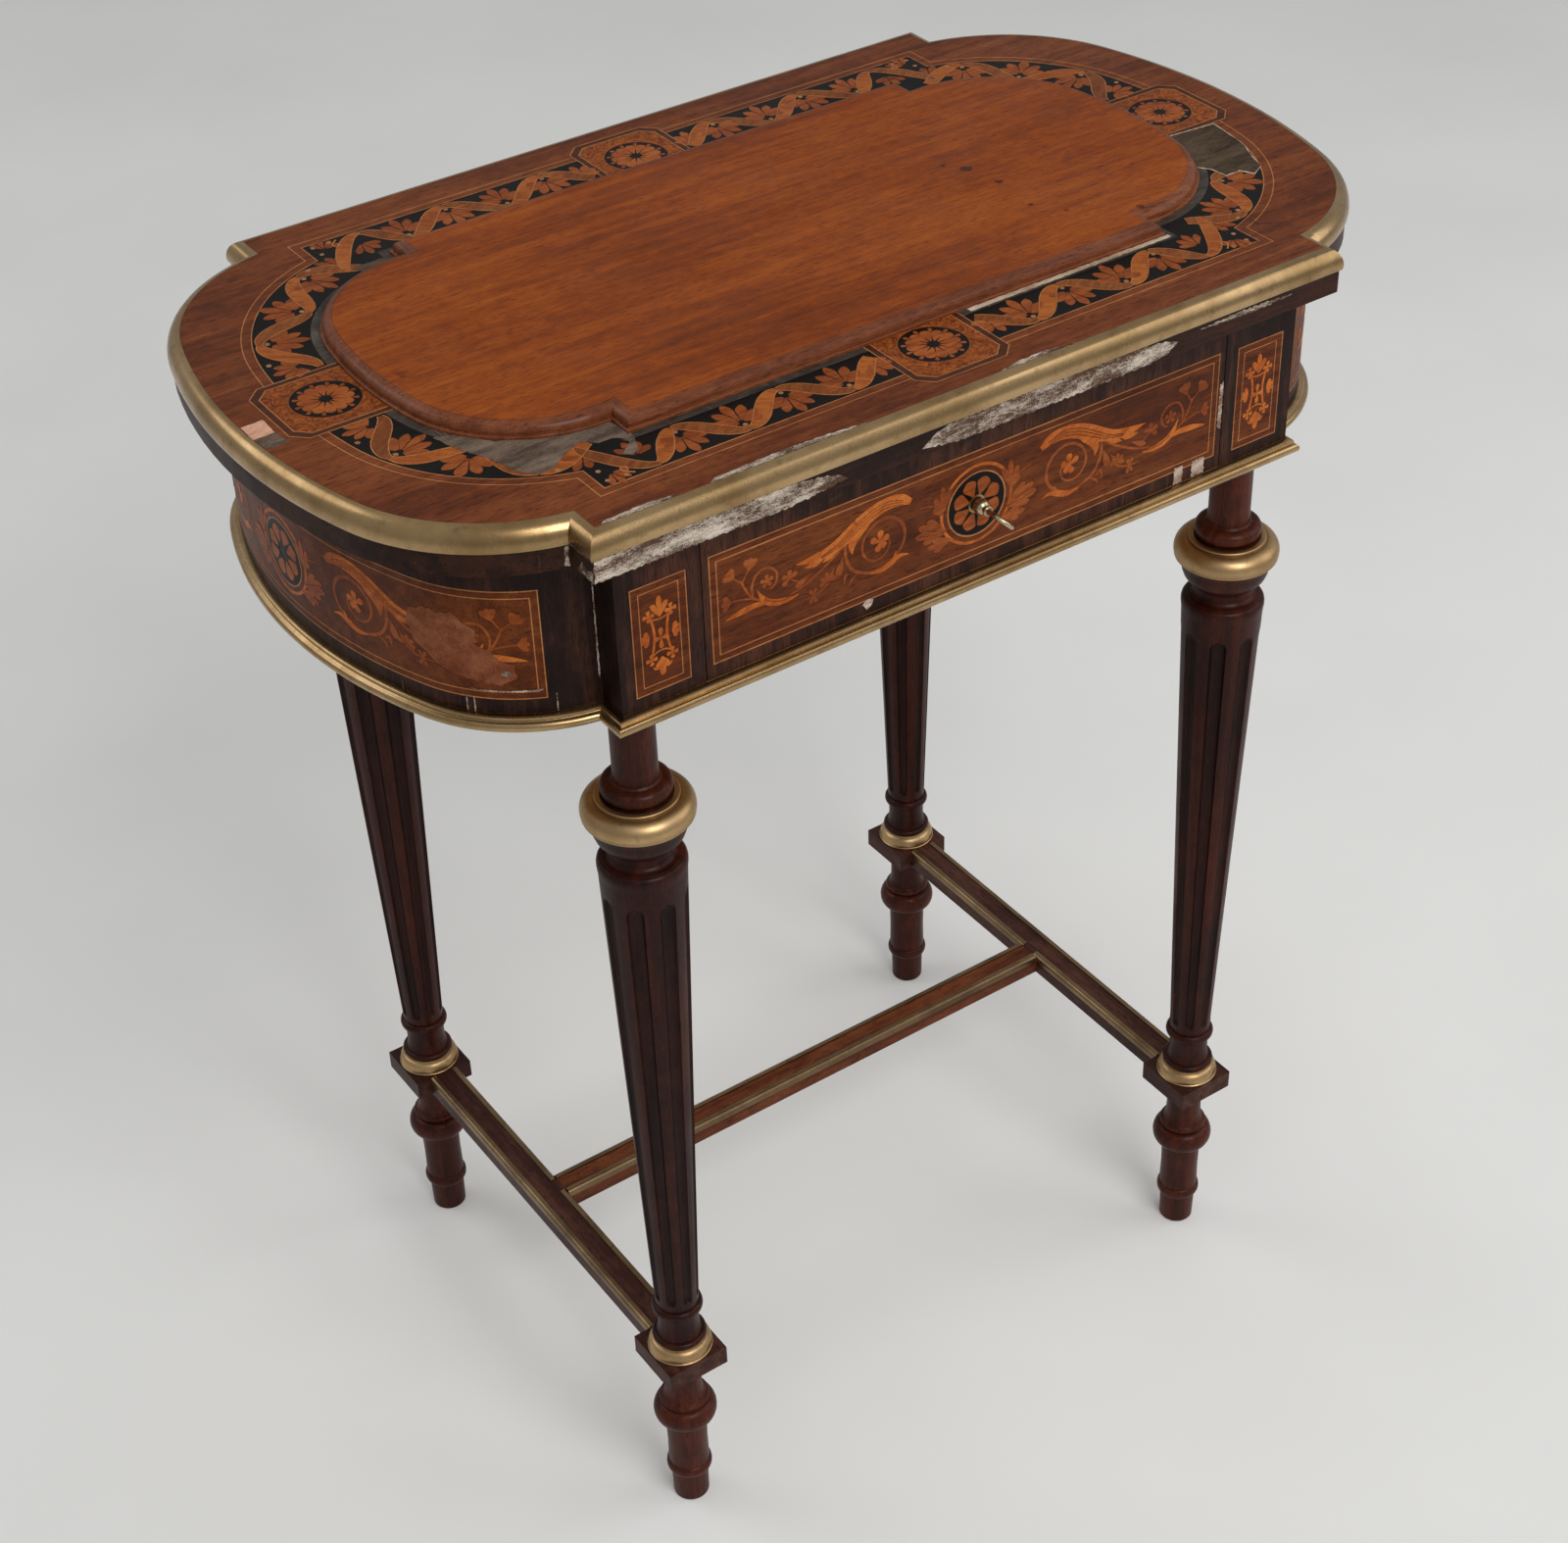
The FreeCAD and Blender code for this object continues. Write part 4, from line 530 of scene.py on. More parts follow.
# Frieze: corner posts, bowed ends and back rail, veneered in very dark rosewood with upright grain.
# The bowed ends are sawn from thick boards and butted between the posts.
FRIEZE_LOW, FRIEZE_HIGH, APRON_THICK = 619, 709, 18
FRIEZE_WOOD = wood("frieze_rosewood", (9, 4, 3), (36, 17, 11), (82, 46, 31), grain=(0, 90, 0), wear=0.15)
dress(FRIEZE_WOOD, "back_rail", *(f"post_{corner}" for corner in LEG_SPOTS))
for side, way in (("left", -1), ("right", 1)):
    loops = []
    for (x, y), (x_in, y_in) in zip(bowed(*APRON, 0), bowed(*APRON, -APRON_THICK)):
        outer, inner = (way * x, y), (way * max(x_in, APRON[0]), y_in)
        loops.append(
            [(*outer, FRIEZE_LOW), (*outer, FRIEZE_HIGH), (*inner, FRIEZE_HIGH), (*inner, FRIEZE_LOW)]
        )
    name = f"bowed_apron_{side}"
    built(capped(loops), name, FRIEZE_WOOD, "carcase", "frieze_veneer", f"end_apron_{side}")


# Frieze marquetry: a red rosewood field on each bowed end and drawer front, framed by two lines of
# boxwood, with acanthus scrolls of sand-shaded satinwood round a black rosette. All of it was sawn
# from thin veneer and glued down flush.
def eased(points, steps=7):
    """Smooth line through points of any number of values."""
    ends = [points[0]] + list(points) + [points[-1]]
    line = []
    for a, b, c, d in zip(ends, ends[1:], ends[2:], ends[3:]):
        for number in range(steps):
            t = number / steps
            spot = []
            for p, q, r, s in zip(a, b, c, d):
                curve = (2 * p - 5 * q + 4 * r - s) * t * t + (3 * q - p - 3 * r + s) * t**3
                spot.append(0.5 * (2 * q + (r - p) * t + curve))
            line.append(tuple(spot))
    return line + [tuple(points[-1])]


def stroke(*points, shift=0, line=None):
    """Outline of a tapering stroke through points of x, y and width; line draws a thin line beside it."""
    middle = eased(points)
    left, right = [], []
    for number, (x, y, width) in enumerate(middle):
        x0, y0, _ = middle[max(number - 1, 0)]
        x1, y1, _ = middle[min(number + 1, len(middle) - 1)]
        long = hypot(x1 - x0, y1 - y0) or 1
        nx, ny = -(y1 - y0) / long, (x1 - x0) / long
        near, far = shift * width + (line or width) / 2, shift * width - (line or width) / 2
        left.append((x + nx * near, y + ny * near))
        right.append((x + nx * far, y + ny * far))
    return left + right[::-1]


def petal(x, y, angle, long, wide, start=0, tip=0.8):
    """Teardrop that points away from a centre."""
    way = Vector((cos(radians(angle)), sin(radians(angle))))
    marks = ((0, 0.12), (0.35, 0.6), (0.68, 1), (0.9, tip), (1, 0.12))
    reach = [(start + (long - start) * part, wide * share) for part, share in marks]
    return stroke(*((x + way.x * out, y + way.y * out, width) for out, width in reach))


def spray(x, y, wide, angles, longs):
    """Petals round one spot, by their angles and lengths."""
    return [petal(x, y, angle, long, wide) for angle, long in zip(angles, longs)]


def disc(x, y, radius, count=48):
    """Circle as a closed outline."""
    return [
        (x + radius * cos(2 * pi * n / count), y + radius * sin(2 * pi * n / count)) for n in range(count)
    ]


def frame_line(left, low, right, high, thin):
    """Thin rectangular line as an outline and its hole."""
    rings = []
    for inset in (0, thin):
        a, b, c, d = left + inset, low + inset, right - inset, high - inset
        rings.append([(a, b), (c, b), (c, d), (a, d)])
    return rings


VENEER, LAYER = 0.3, 0.012


def sawn(shapes, place, top, slices):
    """Veneer sawn to closed outlines, each with its holes. It is cut across where it must bend, then every
    point is put in its place on the piece that carries it."""
    bm = bmesh.new()
    for layer, rings in enumerate(shapes):
        curve = bpy.data.curves.new("sawn", "CURVE")
        curve.dimensions = "2D"
        curve.fill_mode = "BOTH"
        curve.extrude = VENEER / 2
        for ring in rings:
            spline = curve.splines.new("POLY")
            spline.points.add(len(ring) - 1)
            for spot, (x, y) in zip(spline.points, ring):
                spot.co = (x, y, 0, 1)
            spline.use_cyclic_u = True
        holder = bpy.data.objects.new("sawn", curve)
        flat = bpy.data.meshes.new_from_object(holder)
        flat.transform(Matrix.Translation((0, 0, LAYER * (layer % 5))))
        bm.from_mesh(flat)
        bpy.data.objects.remove(holder)
        bpy.data.curves.remove(curve)
        bpy.data.meshes.remove(flat)
    for cut in slices:
        whole = list(bm.verts) + list(bm.edges) + list(bm.faces)
        bmesh.ops.bisect_plane(bm, geom=whole, dist=0.0001, plane_co=(cut, 0, 0), plane_no=(1, 0, 0))
    bmesh.ops.remove_doubles(bm, verts=bm.verts, dist=0.0005)
    for vert in bm.verts:
        x, y, z = vert.co
        vert.co = place(x, y, z + top - VENEER / 2)
    return bm


def inlaid(name, shapes, place, top, material, body, slot, slices=()):
    """Sawn veneer glued down as one piece."""
    built(sawn(shapes, place, top, slices), name, material, body, slot)


def follow(path):
    """Length of a line of points, and the place at a distance along it and outwards from it."""
    runs = [0]
    for (x0, y0), (x1, y1) in zip(path, path[1:]):
        runs.append(runs[-1] + hypot(x1 - x0, y1 - y0))

    def place(along, out):
        reach = min(max(along, 0), runs[-1])
        number = max(n for n in range(len(runs) - 1) if runs[n] <= reach)
        (x0, y0), (x1, y1) = path[number], path[number + 1]
        long = runs[number + 1] - runs[number]
        share = (along - runs[number]) / long
        nx, ny = (y1 - y0) / long, -(x1 - x0) / long
        return (x0 + (x1 - x0) * share + nx * out, y0 + (y1 - y0) * share + ny * out)

    return runs[-1], place


def on_path(path):
    """Placing on an upright bowed face: distance along it from its middle, height and lift."""
    long, spot = follow(path)

    def place(along, height, lift):
        return (*spot(min(max(along + long / 2, 0.01), long - 0.01), lift), height)

    return place


def mirrored(outlines):
    """Outlines together with their mirror images across the middle."""
    return outlines + [[(-x, y) for x, y in ring] for ring in outlines]


FRONT, MIDDLE, TALL = 177, 659, 31.5
LEAF = [
    stroke(
        (42, 17, 3.4), (48, 20.3, 6.4), (56, 21.2, 7.4), (64, 19.8, 8.4), (72, 16.6, 9), (80, 12.4, 8.6),
        (86, 9.6, 7.4), (93, 7.4, 6), (102, 6.4, 4.8), (113, 7.2, 0.5)
    ),
    stroke((66, 18.6, 4), (72, 15, 8.4), (77, 9.6, 7), (79, 4.6, 4.2), (78.6, 0, 0.4)),
    stroke((86, 8, 1), (91, 4.8, 4.2), (97, 2.2, 0.4)),
    stroke((95, 6, 1), (101, 3.6, 4), (108, 3.2, 0.4)),
    stroke((43, -13.6, 0.4), (49, -12.4, 2.4), (55, -14.6, 3.8), (61, -16.6, 2.8), (68, -15.8, 0.8)),
    stroke((53, -13, 2.6), (51.4, -8.8, 0.3)),
    stroke((112, -10.4, 0.5), (120, -10.9, 3.2), (128, -9, 3.8), (133, -5, 3), (136.4, 1.4, 0.4)),
    stroke((129, -8.2, 0.6), (138, -6.8, 3.2), (147, -7.4, 3.4), (156, -8.8, 0.4)),
]
LEAF += spray(61.6, 0.4, 3.8, (30, 95, 160, 225, 290), (6.4, 7, 6.2, 5, 5.4))
STEMS = [
    stroke(
        (80.5, 13.5, 1.2), (83, 5, 1.7), (82, -3.6, 1.9), (77, -11, 1.8), (67, -15.4, 1.6),
        (55.5, -13.6, 1.6), (47.6, -6.6, 1.8), (46, 1.6, 1.9), (49.4, 9, 1.9), (57, 13.3, 1.8),
        (65, 12, 1.7), (71, 6.6, 1.6), (72.6, -0.6, 1.5), (69.4, -6.8, 1.4), (63.6, -9.4, 1.3),
        (57.6, -7, 1.2), (55.4, -1.6, 1), (57.4, 1.6, 0.5)
    ),
    stroke((82, 9, 1.1), (88, 4, 1.4), (98, -2, 1.4), (108, -6.6, 1.2), (117, -8.8, 0.6)),
    stroke(
        (139, -2.4, 1), (139.4, 5, 1.4), (136, 11.2, 1.4), (129.4, 12.2, 1.4), (124.6, 7.4, 1.3),
        (125.4, 1.6, 1.2), (129, -1, 0.6)
    ),
    stroke((132, -7, 1), (140, -1, 1.3), (144.4, 7, 1.2), (145.6, 11, 1)),
    stroke((145, 9, 0.9), (143.4, 12, 0.9), (141.4, 15, 0.9)),
    stroke((145.5, 9.4, 0.9), (148, 11.6, 0.9), (150, 13.4, 0.9)),
    stroke((138, -3, 0.9), (145, -0.4, 1), (152, 0.8, 0.8)),
    stroke((80, -13, 0.5), (83, -10.6, 1.5), (84, -16, 0.4)),
    stroke((76, -13, 0.6), (80, -15.6, 1.2), (81, -18, 0.3)),
    stroke((90, -4, 0.6), (92, -7, 0.9), (93.6, -9, 0.8)),
    stroke((93, -11, 0.8), (100, -14.6, 1.1), (110, -15.2, 0.4)),
    stroke((110, -4, 0.7), (113.6, -2, 0.9), (116.4, 0, 0.8)),
    stroke((23, 3, 0.8), (28, 8.6, 0.8), (36, 10.6, 0.5)),
]
FLOWERS = [petal(84.6, 0.6, -72, 11, 4.4), petal(104, -1, -28, 11, 3.6)]
for x, y, wide, angles, longs in (
    (117, 0.6, 3, (-30, 30, 90, 150), [5.2] * 4),
    (94, -10, 2.6, (-10, 35, 80, 125, 170), [5.4] * 5),
    (103, -15, 2.2, (60, 110, 250, 300), [4.6] * 4),
    (130.6, 4.6, 2.4, range(18, 360, 72), [4] * 5),
    (141, 14.6, 3.2, (78, 104, 130), [7.4] * 3),
    (149.8, 13, 3.2, (20, 48, 76), [7] * 3),
    (152, 0.6, 2.8, (-34, 4, 42), [6] * 3),
    (19.6, -9.4, 4.4, (42, 26, 10, -6), (16, 19.5, 20, 15)),
    (16, -15, 3.4, (14, -2, -18), (13, 16, 12)),
    (22.4, 1, 3.4, (112, 92, 70, 48), (15, 17, 13, 8)),
):
    FLOWERS += spray(x, y, wide, angles, longs)
VEINS = [
    stroke(
        (47, 18.4, 2), (56, 20.6, 3), (64, 19.6, 3.4), (72, 16.4, 3.4), (80, 12, 3), (88, 8, 2),
        (98, 5.6, 1), shift=share, line=0.35
    )
    for share in (-0.55, 0, 0.5)
]
VEINS += [stroke((114, -10.2, 1), (124, -9.8, 1), (131, -6.6, 1), line=0.35)]
VEINS += [
    stroke((20, -9.2, 1), (28, -6, 1), (35, -3, 1), line=0.35),
    stroke((20, -9.4, 1), (30, -8, 1), (37, -6.4, 1), line=0.35)
]

FIELD_WOOD = wood("field_rosewood", (40, 14, 3), (90, 40, 11), (122, 64, 23), wear=0.12)
LINE_WOOD = wood("boxwood_line", (130, 76, 38), (164, 104, 58), (188, 132, 82), wear=0.2)
LEAF_WOOD = wood(
    "satinwood_leaf", (112, 46, 12), (176, 90, 30), (206, 124, 54), (0, 30, 20), wear=0.2, scale=2
)
STEM_WOOD = wood("shaded_satinwood", (88, 38, 12), (136, 66, 24), (168, 94, 42), wear=0.2, scale=2)
PETAL_WOOD = wood("rosette_satinwood", (100, 42, 13), (152, 76, 27), (182, 106, 46), wear=0.2, scale=3)
EBONY = wood("ebony", (3, 2, 2), (9, 6, 5), (20, 14, 10), wear=0.15, worn=(60, 46, 36), polish=0)


def scroll_panel(name, body, half, place, slices, shift=MIDDLE):
    """Framed field with its scrolls and rosette, laid where place puts it."""
    share = (half - 6) / 158

    def laid(label, shapes, top, material):
        moved = [[[(x, y + shift) for x, y in ring] for ring in rings] for rings in shapes]
        inlaid(f"{name}_{label}", moved, place, top, material, body, "frieze_veneer", slices)

    def spread(outlines):
        return [[[(x * share if abs(x) > 40 else x, y) for x, y in ring]] for ring in mirrored(outlines)]

    field = [(-half, -TALL), (half, -TALL), (half, TALL), (-half, TALL)]
    laid("field", [[field, disc(0, 0, 17)]], 0.05, FIELD_WOOD)
    lines = [
        frame_line(-half, -TALL, half, TALL, 0.65), frame_line(4 - half, 4 - TALL, half - 4, TALL - 4, 0.6)
    ]
    lines += [[disc(0, 0, 18.9, 72), disc(0, 0, 18, 72)]]
    laid("lines", lines, 0.1, LINE_WOOD)
    laid("ring", [[disc(0, 0, 23.4, 72), disc(0, 0, 21.6, 72)]], 0.1, LEAF_WOOD)
    laid("stems", spread(STEMS), 0.1, STEM_WOOD)
    laid("leaves", spread(LEAF), 0.14, LEAF_WOOD)
    laid("flowers", spread(FLOWERS), 0.17, STEM_WOOD)
    laid("veins", spread(VEINS), 0.2, FIELD_WOOD)
    laid("ground", [[disc(0, 0, 18, 72), disc(0, 0, 4.4)]], 0.1, EBONY)
    laid("petals", [[petal(0, 0, 22.5 + 45 * n, 15.4, 8.8, 5.2, 0.62)] for n in range(8)], 0.14, PETAL_WOOD)


for side, way in (("left", -1), ("right", 1)):
    face = [(way * x, y) for x, y in bowed(*APRON, 0, 60)]
    if way < 0:
        face = face[::-1]
    scroll_panel(f"end_{side}", "carcase", 172, on_path(face), [4 * n for n in range(-43, 44)])

# Post panels: a small framed panel on the front of each front post, with an arabesque of a palmette
# over a lyre-shaped frame and a pendant leaf below, in the same woods as the scrolls.
POST_HEIGHT = 657.5
POST_FRAME = [
    stroke((6, 13.4, 1), (4.4, 8, 1.4), (3.6, 1, 1.4), (4.4, -6, 1.4), (6, -12, 1)),
    stroke((6.4, 11.4, 0.8), (3, 10, 0.9), (0, 9.6, 0.9)),
    stroke((6, -11, 0.8), (3, -9, 0.9), (0, -8.4, 0.9)),
    stroke((1, -19, 0.5), (4, -18.6, 0.9), (5.4, -16.8, 0.5)),
    stroke((2, 13, 0.6), (3.6, 17.6, 1.3), (5.2, 18.4, 0.5)),
]
POST_LEAVES = spray(6.4, 13, 2.4, (0, 90, 180, 270), [3.4] * 4)
POST_LEAVES += spray(6, -12.4, 2.4, (0, 90, 180, 270), [3.4] * 4)
POST_LEAVES += spray(6.6, 0.4, 2.4, (-60, -20, 20, 60), [5] * 4)
POST_MIDDLE = spray(0, 11, 3, (90, 62, 118), (12, 9, 9))
POST_MIDDLE += spray(0, -1.5, 2.6, (90, 270, 0, 180), (6, 6, 3.6, 3.6))
POST_MIDDLE += spray(0, -12.4, 3.6, (270, 244, 296), (11, 7, 7))
for side, middle in (("left", -192.5), ("right", 192.5)):

    def on_post(x, y, lift):
        return (x + middle, -FRONT - lift, y + POST_HEIGHT)

    frames = [frame_line(-16, -TALL, 16, TALL, 0.6), frame_line(-11.6, -27.4, 11.6, 27.4, 0.55)]
    field = [(-16, -TALL), (16, -TALL), (16, TALL), (-16, TALL)]
    pieces = (
        ("field", [[field]], 0.05, FIELD_WOOD),
        ("lines", frames, 0.1, LINE_WOOD),
        ("frame", [[ring] for ring in mirrored(POST_FRAME)], 0.1, LEAF_WOOD),
        ("leaves", [[ring] for ring in mirrored(POST_LEAVES) + POST_MIDDLE], 0.14, LEAF_WOOD),
    )
    for label, shapes, top, material in pieces:
        inlaid(f"post_{side}_{label}", shapes, on_post, top, material, "carcase", "frieze_veneer")

# Inside of the carcase: bearers and stops that guide the drawer, and above it the floor, front and dividers
# of the well. They are plain oak, planed, glued and left without polish.
dress(CARCASE_WOOD, "side_bearer_left", "side_bearer_right", "drawer_stops")
dress(CARCASE_WOOD, "well_floor", "well_front", "well_divider_left", "well_divider_right")

# Lid board: an oak board hinged at the back, its moulded edge faced with very dark rosewood.
# The facing is rubbed and has split off along the front.
EDGE_WOOD = wood("lid_edge_rosewood", (12, 6, 4), (38, 19, 12), (68, 36, 22), wear=0.3)
dress(EDGE_WOOD, "lid_board")

# Lid brass: half-round drawn brass, bent round the ends, mitred at the steps and pinned on the shoulder
# of the lid, where hands have kept it bright.
LID = (235, 191, 20, 326, 350, 16)
round_edge = [
    (-7.9, 722), (-1.2, 722), (-0.5, 722.4), (-0.1, 723.6), (0, 725.2), (-0.2, 727.2), (-0.8, 729.4)
]
round_edge += [(-1.9, 731.5), (-3.4, 733.2), (-5.2, 734.4), (-6.8, 734.9), (-7.9, 735)]
built(moulding(LID, round_edge), "lid_edge_brass", BRASS, "lid", "brass", "lid_brass")

# Veneered border of the lid: a crossband of red-brown rosewood round a black marquetry band with boxwood
# lines. A ribbon winds along the band between palmettes and dots, sawn together and glued down flush.
CROSSBAND = wood("crossband_rosewood", (48, 17, 4), (100, 46, 16), (138, 74, 34), wear=0.35)
dress(CROSSBAND, "lid_border")
PANEL = (170, 121, 15, 251, 260, 10)
LID_TOP = 735


def level(height):
    """Placing on a flat top at a height."""
    return lambda x, y, lift: (x, y, height + lift)


def ring_band(name, inner, outer, top, material):
    """Flat band between two growths of the panel's outline, with a little thickness."""
    low, high = LID_TOP - 0.2, LID_TOP + top
    section = [(inner, low), (outer, low), (outer, high), (inner, high)]
    built(moulding(PANEL, section), name, material, "lid", "border_veneer")


GROOVE_WOOD = wood(
    "empty_groove", (34, 28, 24), (58, 50, 44), (84, 74, 66), wear=0.8, worn=(140, 132, 122), polish=0
)
ring_band("band_ground", 5, 35, 0.05, EBONY)
ring_band("band_inner_strip", -1, 5, 0.04, GROOVE_WOOD)
ring_band("band_line_0", 35, 35.6, 0.1, LINE_WOOD)
ring_band("band_line_1", 40.3, 40.9, 0.1, LINE_WOOD)
band_long, on_band = follow(bowed(*PANEL, 20, 60))
BAND_MIDDLE = 141


def on_flat(along, out):
    """Place on the straight front of the band."""
    return (along, -BAND_MIDDLE - out)


def moved(rings, place):
    """Outlines drawn along the band and put in their place."""
    return [[place(along, out) for along, out in ring] for ring in rings]


def wave(start, end, crest, pitch):
    """Ribbon that swings from edge to edge of the band, as strokes from one turn to the next."""
    strokes, low = [], start
    while low < end - 1:
        turn = crest + round((low - crest) / (pitch / 2) + 0.51) * pitch / 2
        points = []
        for number in range(9):
            along = low + (min(turn, end) - low) * number / 8
            phase = 2 * pi * (along - crest) / pitch
            swing = -11.6 * cos(phase) * (1.06 - 0.06 * abs(cos(phase)))
            points.append((along, swing, 3.4 + 6.2 * abs(sin(phase)) ** 0.8))
        strokes.append(points)
        low = turn
    return strokes


def fan(along, out, angle, size, spread=(-92, -62, -31, 0, 31, 62, 92)):
    """Palmette of pointed lobes with dark gaps between them."""
    reach = [(angle + turn, size * (1.06 - abs(turn) / 230)) for turn in spread]
    return [petal(along, out, way, long, size * 0.32, 1.8, 0.6) for way, long in reach]


def ribbon_sides(points):
    """Thin lines along both edges of a ribbon."""
    return [stroke(*points, shift=share, line=0.5) for share in (-0.46, 0.46)]


flat_strokes = wave(33, 151, 89, 62)
flat_strokes.append(
    [(151, -11.6, 3.4), (154, -9.8, 6.6), (159, -3.6, 9.2), (164, 4, 9.2), (168.6, 9.6, 6.4)]
)
flat_strokes[-1].append((172.6, 11.8, 3))
ribbons_light, ribbons_dark, ribbon_lines, palmettes, dots = [], [], [], [], []
for strokes, place in ((flat_strokes, on_flat), (wave(2, 131, -5, 68), on_band)):
    for points in strokes:
        leaning = ribbons_light if points[-1][1] < points[0][1] else ribbons_dark
        leaning.extend(moved([stroke(*points)], place))
        ribbon_lines += moved(ribbon_sides(points), place)
corner_points = [(172, -153.4, 2.8), (179, -150.4, 6.6), (186, -142.6, 8.6), (192, -132.4, 8.4)]
corner_points += [(196.4, -122.6, 6.4), (197.4, -115.6, 2)]
curl = [(186, -153, 1), (190, -149, 1), (189.6, -145.6, 1), (187, -146.4, 1), (187.6, -148.4, 1)]
ribbons_light.append(stroke(*corner_points))
ribbon_lines += ribbon_sides(corner_points) + [stroke(*curl, line=0.9)]
flat_fans = ((89, -3.4, 90, 17), (151, -3.4, 90, 17), (58, 4.4, 270, 18), (120, 4.4, 270, 18))
for along, out, angle, size in flat_fans:
    palmettes += moved(fan(along, out, angle, size), on_flat)
palmettes += moved(fan(37, -5, 84, 15, (-24, 4, 34, 64, 92)), on_flat)
palmettes += moved(fan(177, 0, 270, 14, (-62, -31, 0, 31)), on_flat)
palmettes += fan(196, -146, 262, 12, (-62, -31, 0, 31))
bow_fans = ((63, -3.4, 90, 18), (97, 4.4, 270, 18), (29, 4.4, 270, 18), (8, 2, 62, 13), (126, -2, 80, 14))
for along, out, angle, size in bow_fans:
    palmettes += moved(fan(along, out, angle, size), on_band)
flat_dots = ((89, -7.4, 1.3), (151, -7.4, 1.3), (58, 7.4, 1.4), (120, 7.4, 1.4))
dots += [disc(*on_flat(along, out), radius, 14) for along, out, radius in flat_dots]
dots += [disc(200.6, -151.6, 1.3, 14), disc(190.6, -152.4, 1.2, 14), disc(200, -142, 1.3, 14)]
bow_dots = ((63, -7.6), (97, 7.6), (29, 7.6), (118, 11.4), (21, 11.6))
dots += moved([disc(along, out, 1.4, 14) for along, out in bow_dots], on_band)


def round_lid(outlines, others):
    """One quarter's outlines carried round the band. Every second quarter is a mirror image, where the
    other list takes its place, because a ribbon that leans one way keeps its wood all round."""
    shapes = []
    for a, b in ((1, 1), (-1, 1), (-1, -1), (1, -1)):
        for ring in outlines if a == b else others:
            shapes.append([[(x * a, y * b) for x, y in ring]])
    return shapes


RIBBON_WOOD = wood(
    "ribbon_satinwood", (104, 46, 14), (154, 80, 28), (184, 110, 47), (0, 0, 40), wear=0.2, scale=2
)
RIBBON_BACK = wood(
    "ribbon_walnut", (78, 36, 12), (124, 66, 26), (152, 92, 44), (0, 0, -40), wear=0.2, scale=2
)
DOT_WOOD = wood("maple_dot", (116, 76, 48), (158, 110, 74), (184, 138, 100), wear=0.2, scale=3)
for label, outlines, others, top, material in (
    ("ribbon_front", ribbons_light, ribbons_dark, 0.12, RIBBON_WOOD),
    ("ribbon_back", ribbons_dark, ribbons_light, 0.12, RIBBON_BACK),
    ("ribbon_edges", ribbon_lines, ribbon_lines, 0.2, LINE_WOOD),
    ("palmettes", palmettes, palmettes, 0.11, STEM_WOOD),
    ("dots", dots, dots, 0.2, DOT_WOOD),
):
    shapes = round_lid(outlines, others)
    inlaid(f"band_{label}", shapes, level(LID_TOP), top, material, "lid", "border_veneer")


# Tablets: mottled orange burr in a dark edge with two boxwood lines, canted towards the brass.
# Each holds a black disc with a rosette of twelve petals, all sawn from thin veneer.
def burr(name, dark, middle, light):
    """Burr veneer: swirling light and dark with small eyes."""
    material, tree, surface, spot = shader(name)
    swirl = speckle(tree, spot, (150, 150, 150), 5, 0.65, 2.5)
    eyes = speckle(tree, spot, (420, 420, 420), 2, 0.5, 0.6)
    colour = mixed(tree, ramp(tree, swirl, 0.36, 0.62), tone(*dark), tone(*light))
    colour = mixed(tree, ramp(tree, eyes, 0.55, 0.66, 0, 0.8), colour, tone(*middle))
    surfaced(tree, surface, colour, ramp(tree, swirl, 0.3, 0.7, 0.4, 0.55), eyes, 0.15)
    surface["Specular IOR Level"].default_value = 0.1
    return material


BURR = burr("amboyna_burr", (88, 36, 10), (80, 30, 8), (156, 82, 28))
KINGWOOD = wood("kingwood_edge", (34, 14, 6), (66, 30, 14), (92, 48, 24), wear=0.15)


def tablet(across, near, far, cant):
    """Tablet outline: square towards the panel and canted towards the edge."""
    right = [(across, near), (across, far - cant), (across - cant, far)]
    return [(-across, near)] + right + [(cant - across, far), (-across, far - cant)]


for label, turn, near, far, centre in (
    ("front", 270, 121, 172.5, 140.5),
    ("back", 90, 121, 172.5, 140.5),
    ("left", 180, 251, 302.5, 271),
    ("right", 0, 251, 302.5, 271),
):
    ca, sa = cos(radians(turn)), sin(radians(turn))

    def on_tablet(x, y, lift):
        return (y * ca - x * sa, y * sa + x * ca, LID_TOP + lift)

    lines = [[tablet(30, near - 2, far, 8), tablet(29.4, near - 3, far - 0.6, 7.7)]]
    lines += [[tablet(26, near - 2, far - 4, 7), tablet(25.4, near - 3, far - 4.6, 6.75)]]
    pieces = (
        ("edge", [[tablet(30, near - 2, far, 8)]], 0.13, KINGWOOD),
        ("burr", [[tablet(25.6, near - 2, far - 4.4, 6.8)]], 0.15, BURR),
        ("lines", lines, 0.18, LINE_WOOD),
        ("disc", [[disc(0, centre, 18.2, 72)]], 0.18, EBONY),
        ("rim", [[disc(0, centre, 18.8, 72), disc(0, centre, 18.2, 72)]], 0.2, STEM_WOOD),
        ("rosette", [[petal(0, centre, 30 * n + 15, 14.6, 5.9, 3.4)] for n in range(12)], 0.22, PETAL_WOOD),
        ("points", [[petal(0, centre, 30 * n, 16.8, 2.2, 12.6)] for n in range(12)], 0.2, STEM_WOOD),
    )
    for part, shapes, top, material in pieces:
        inlaid(f"tablet_{label}_{part}", shapes, on_tablet, top, material, "lid", "border_veneer")


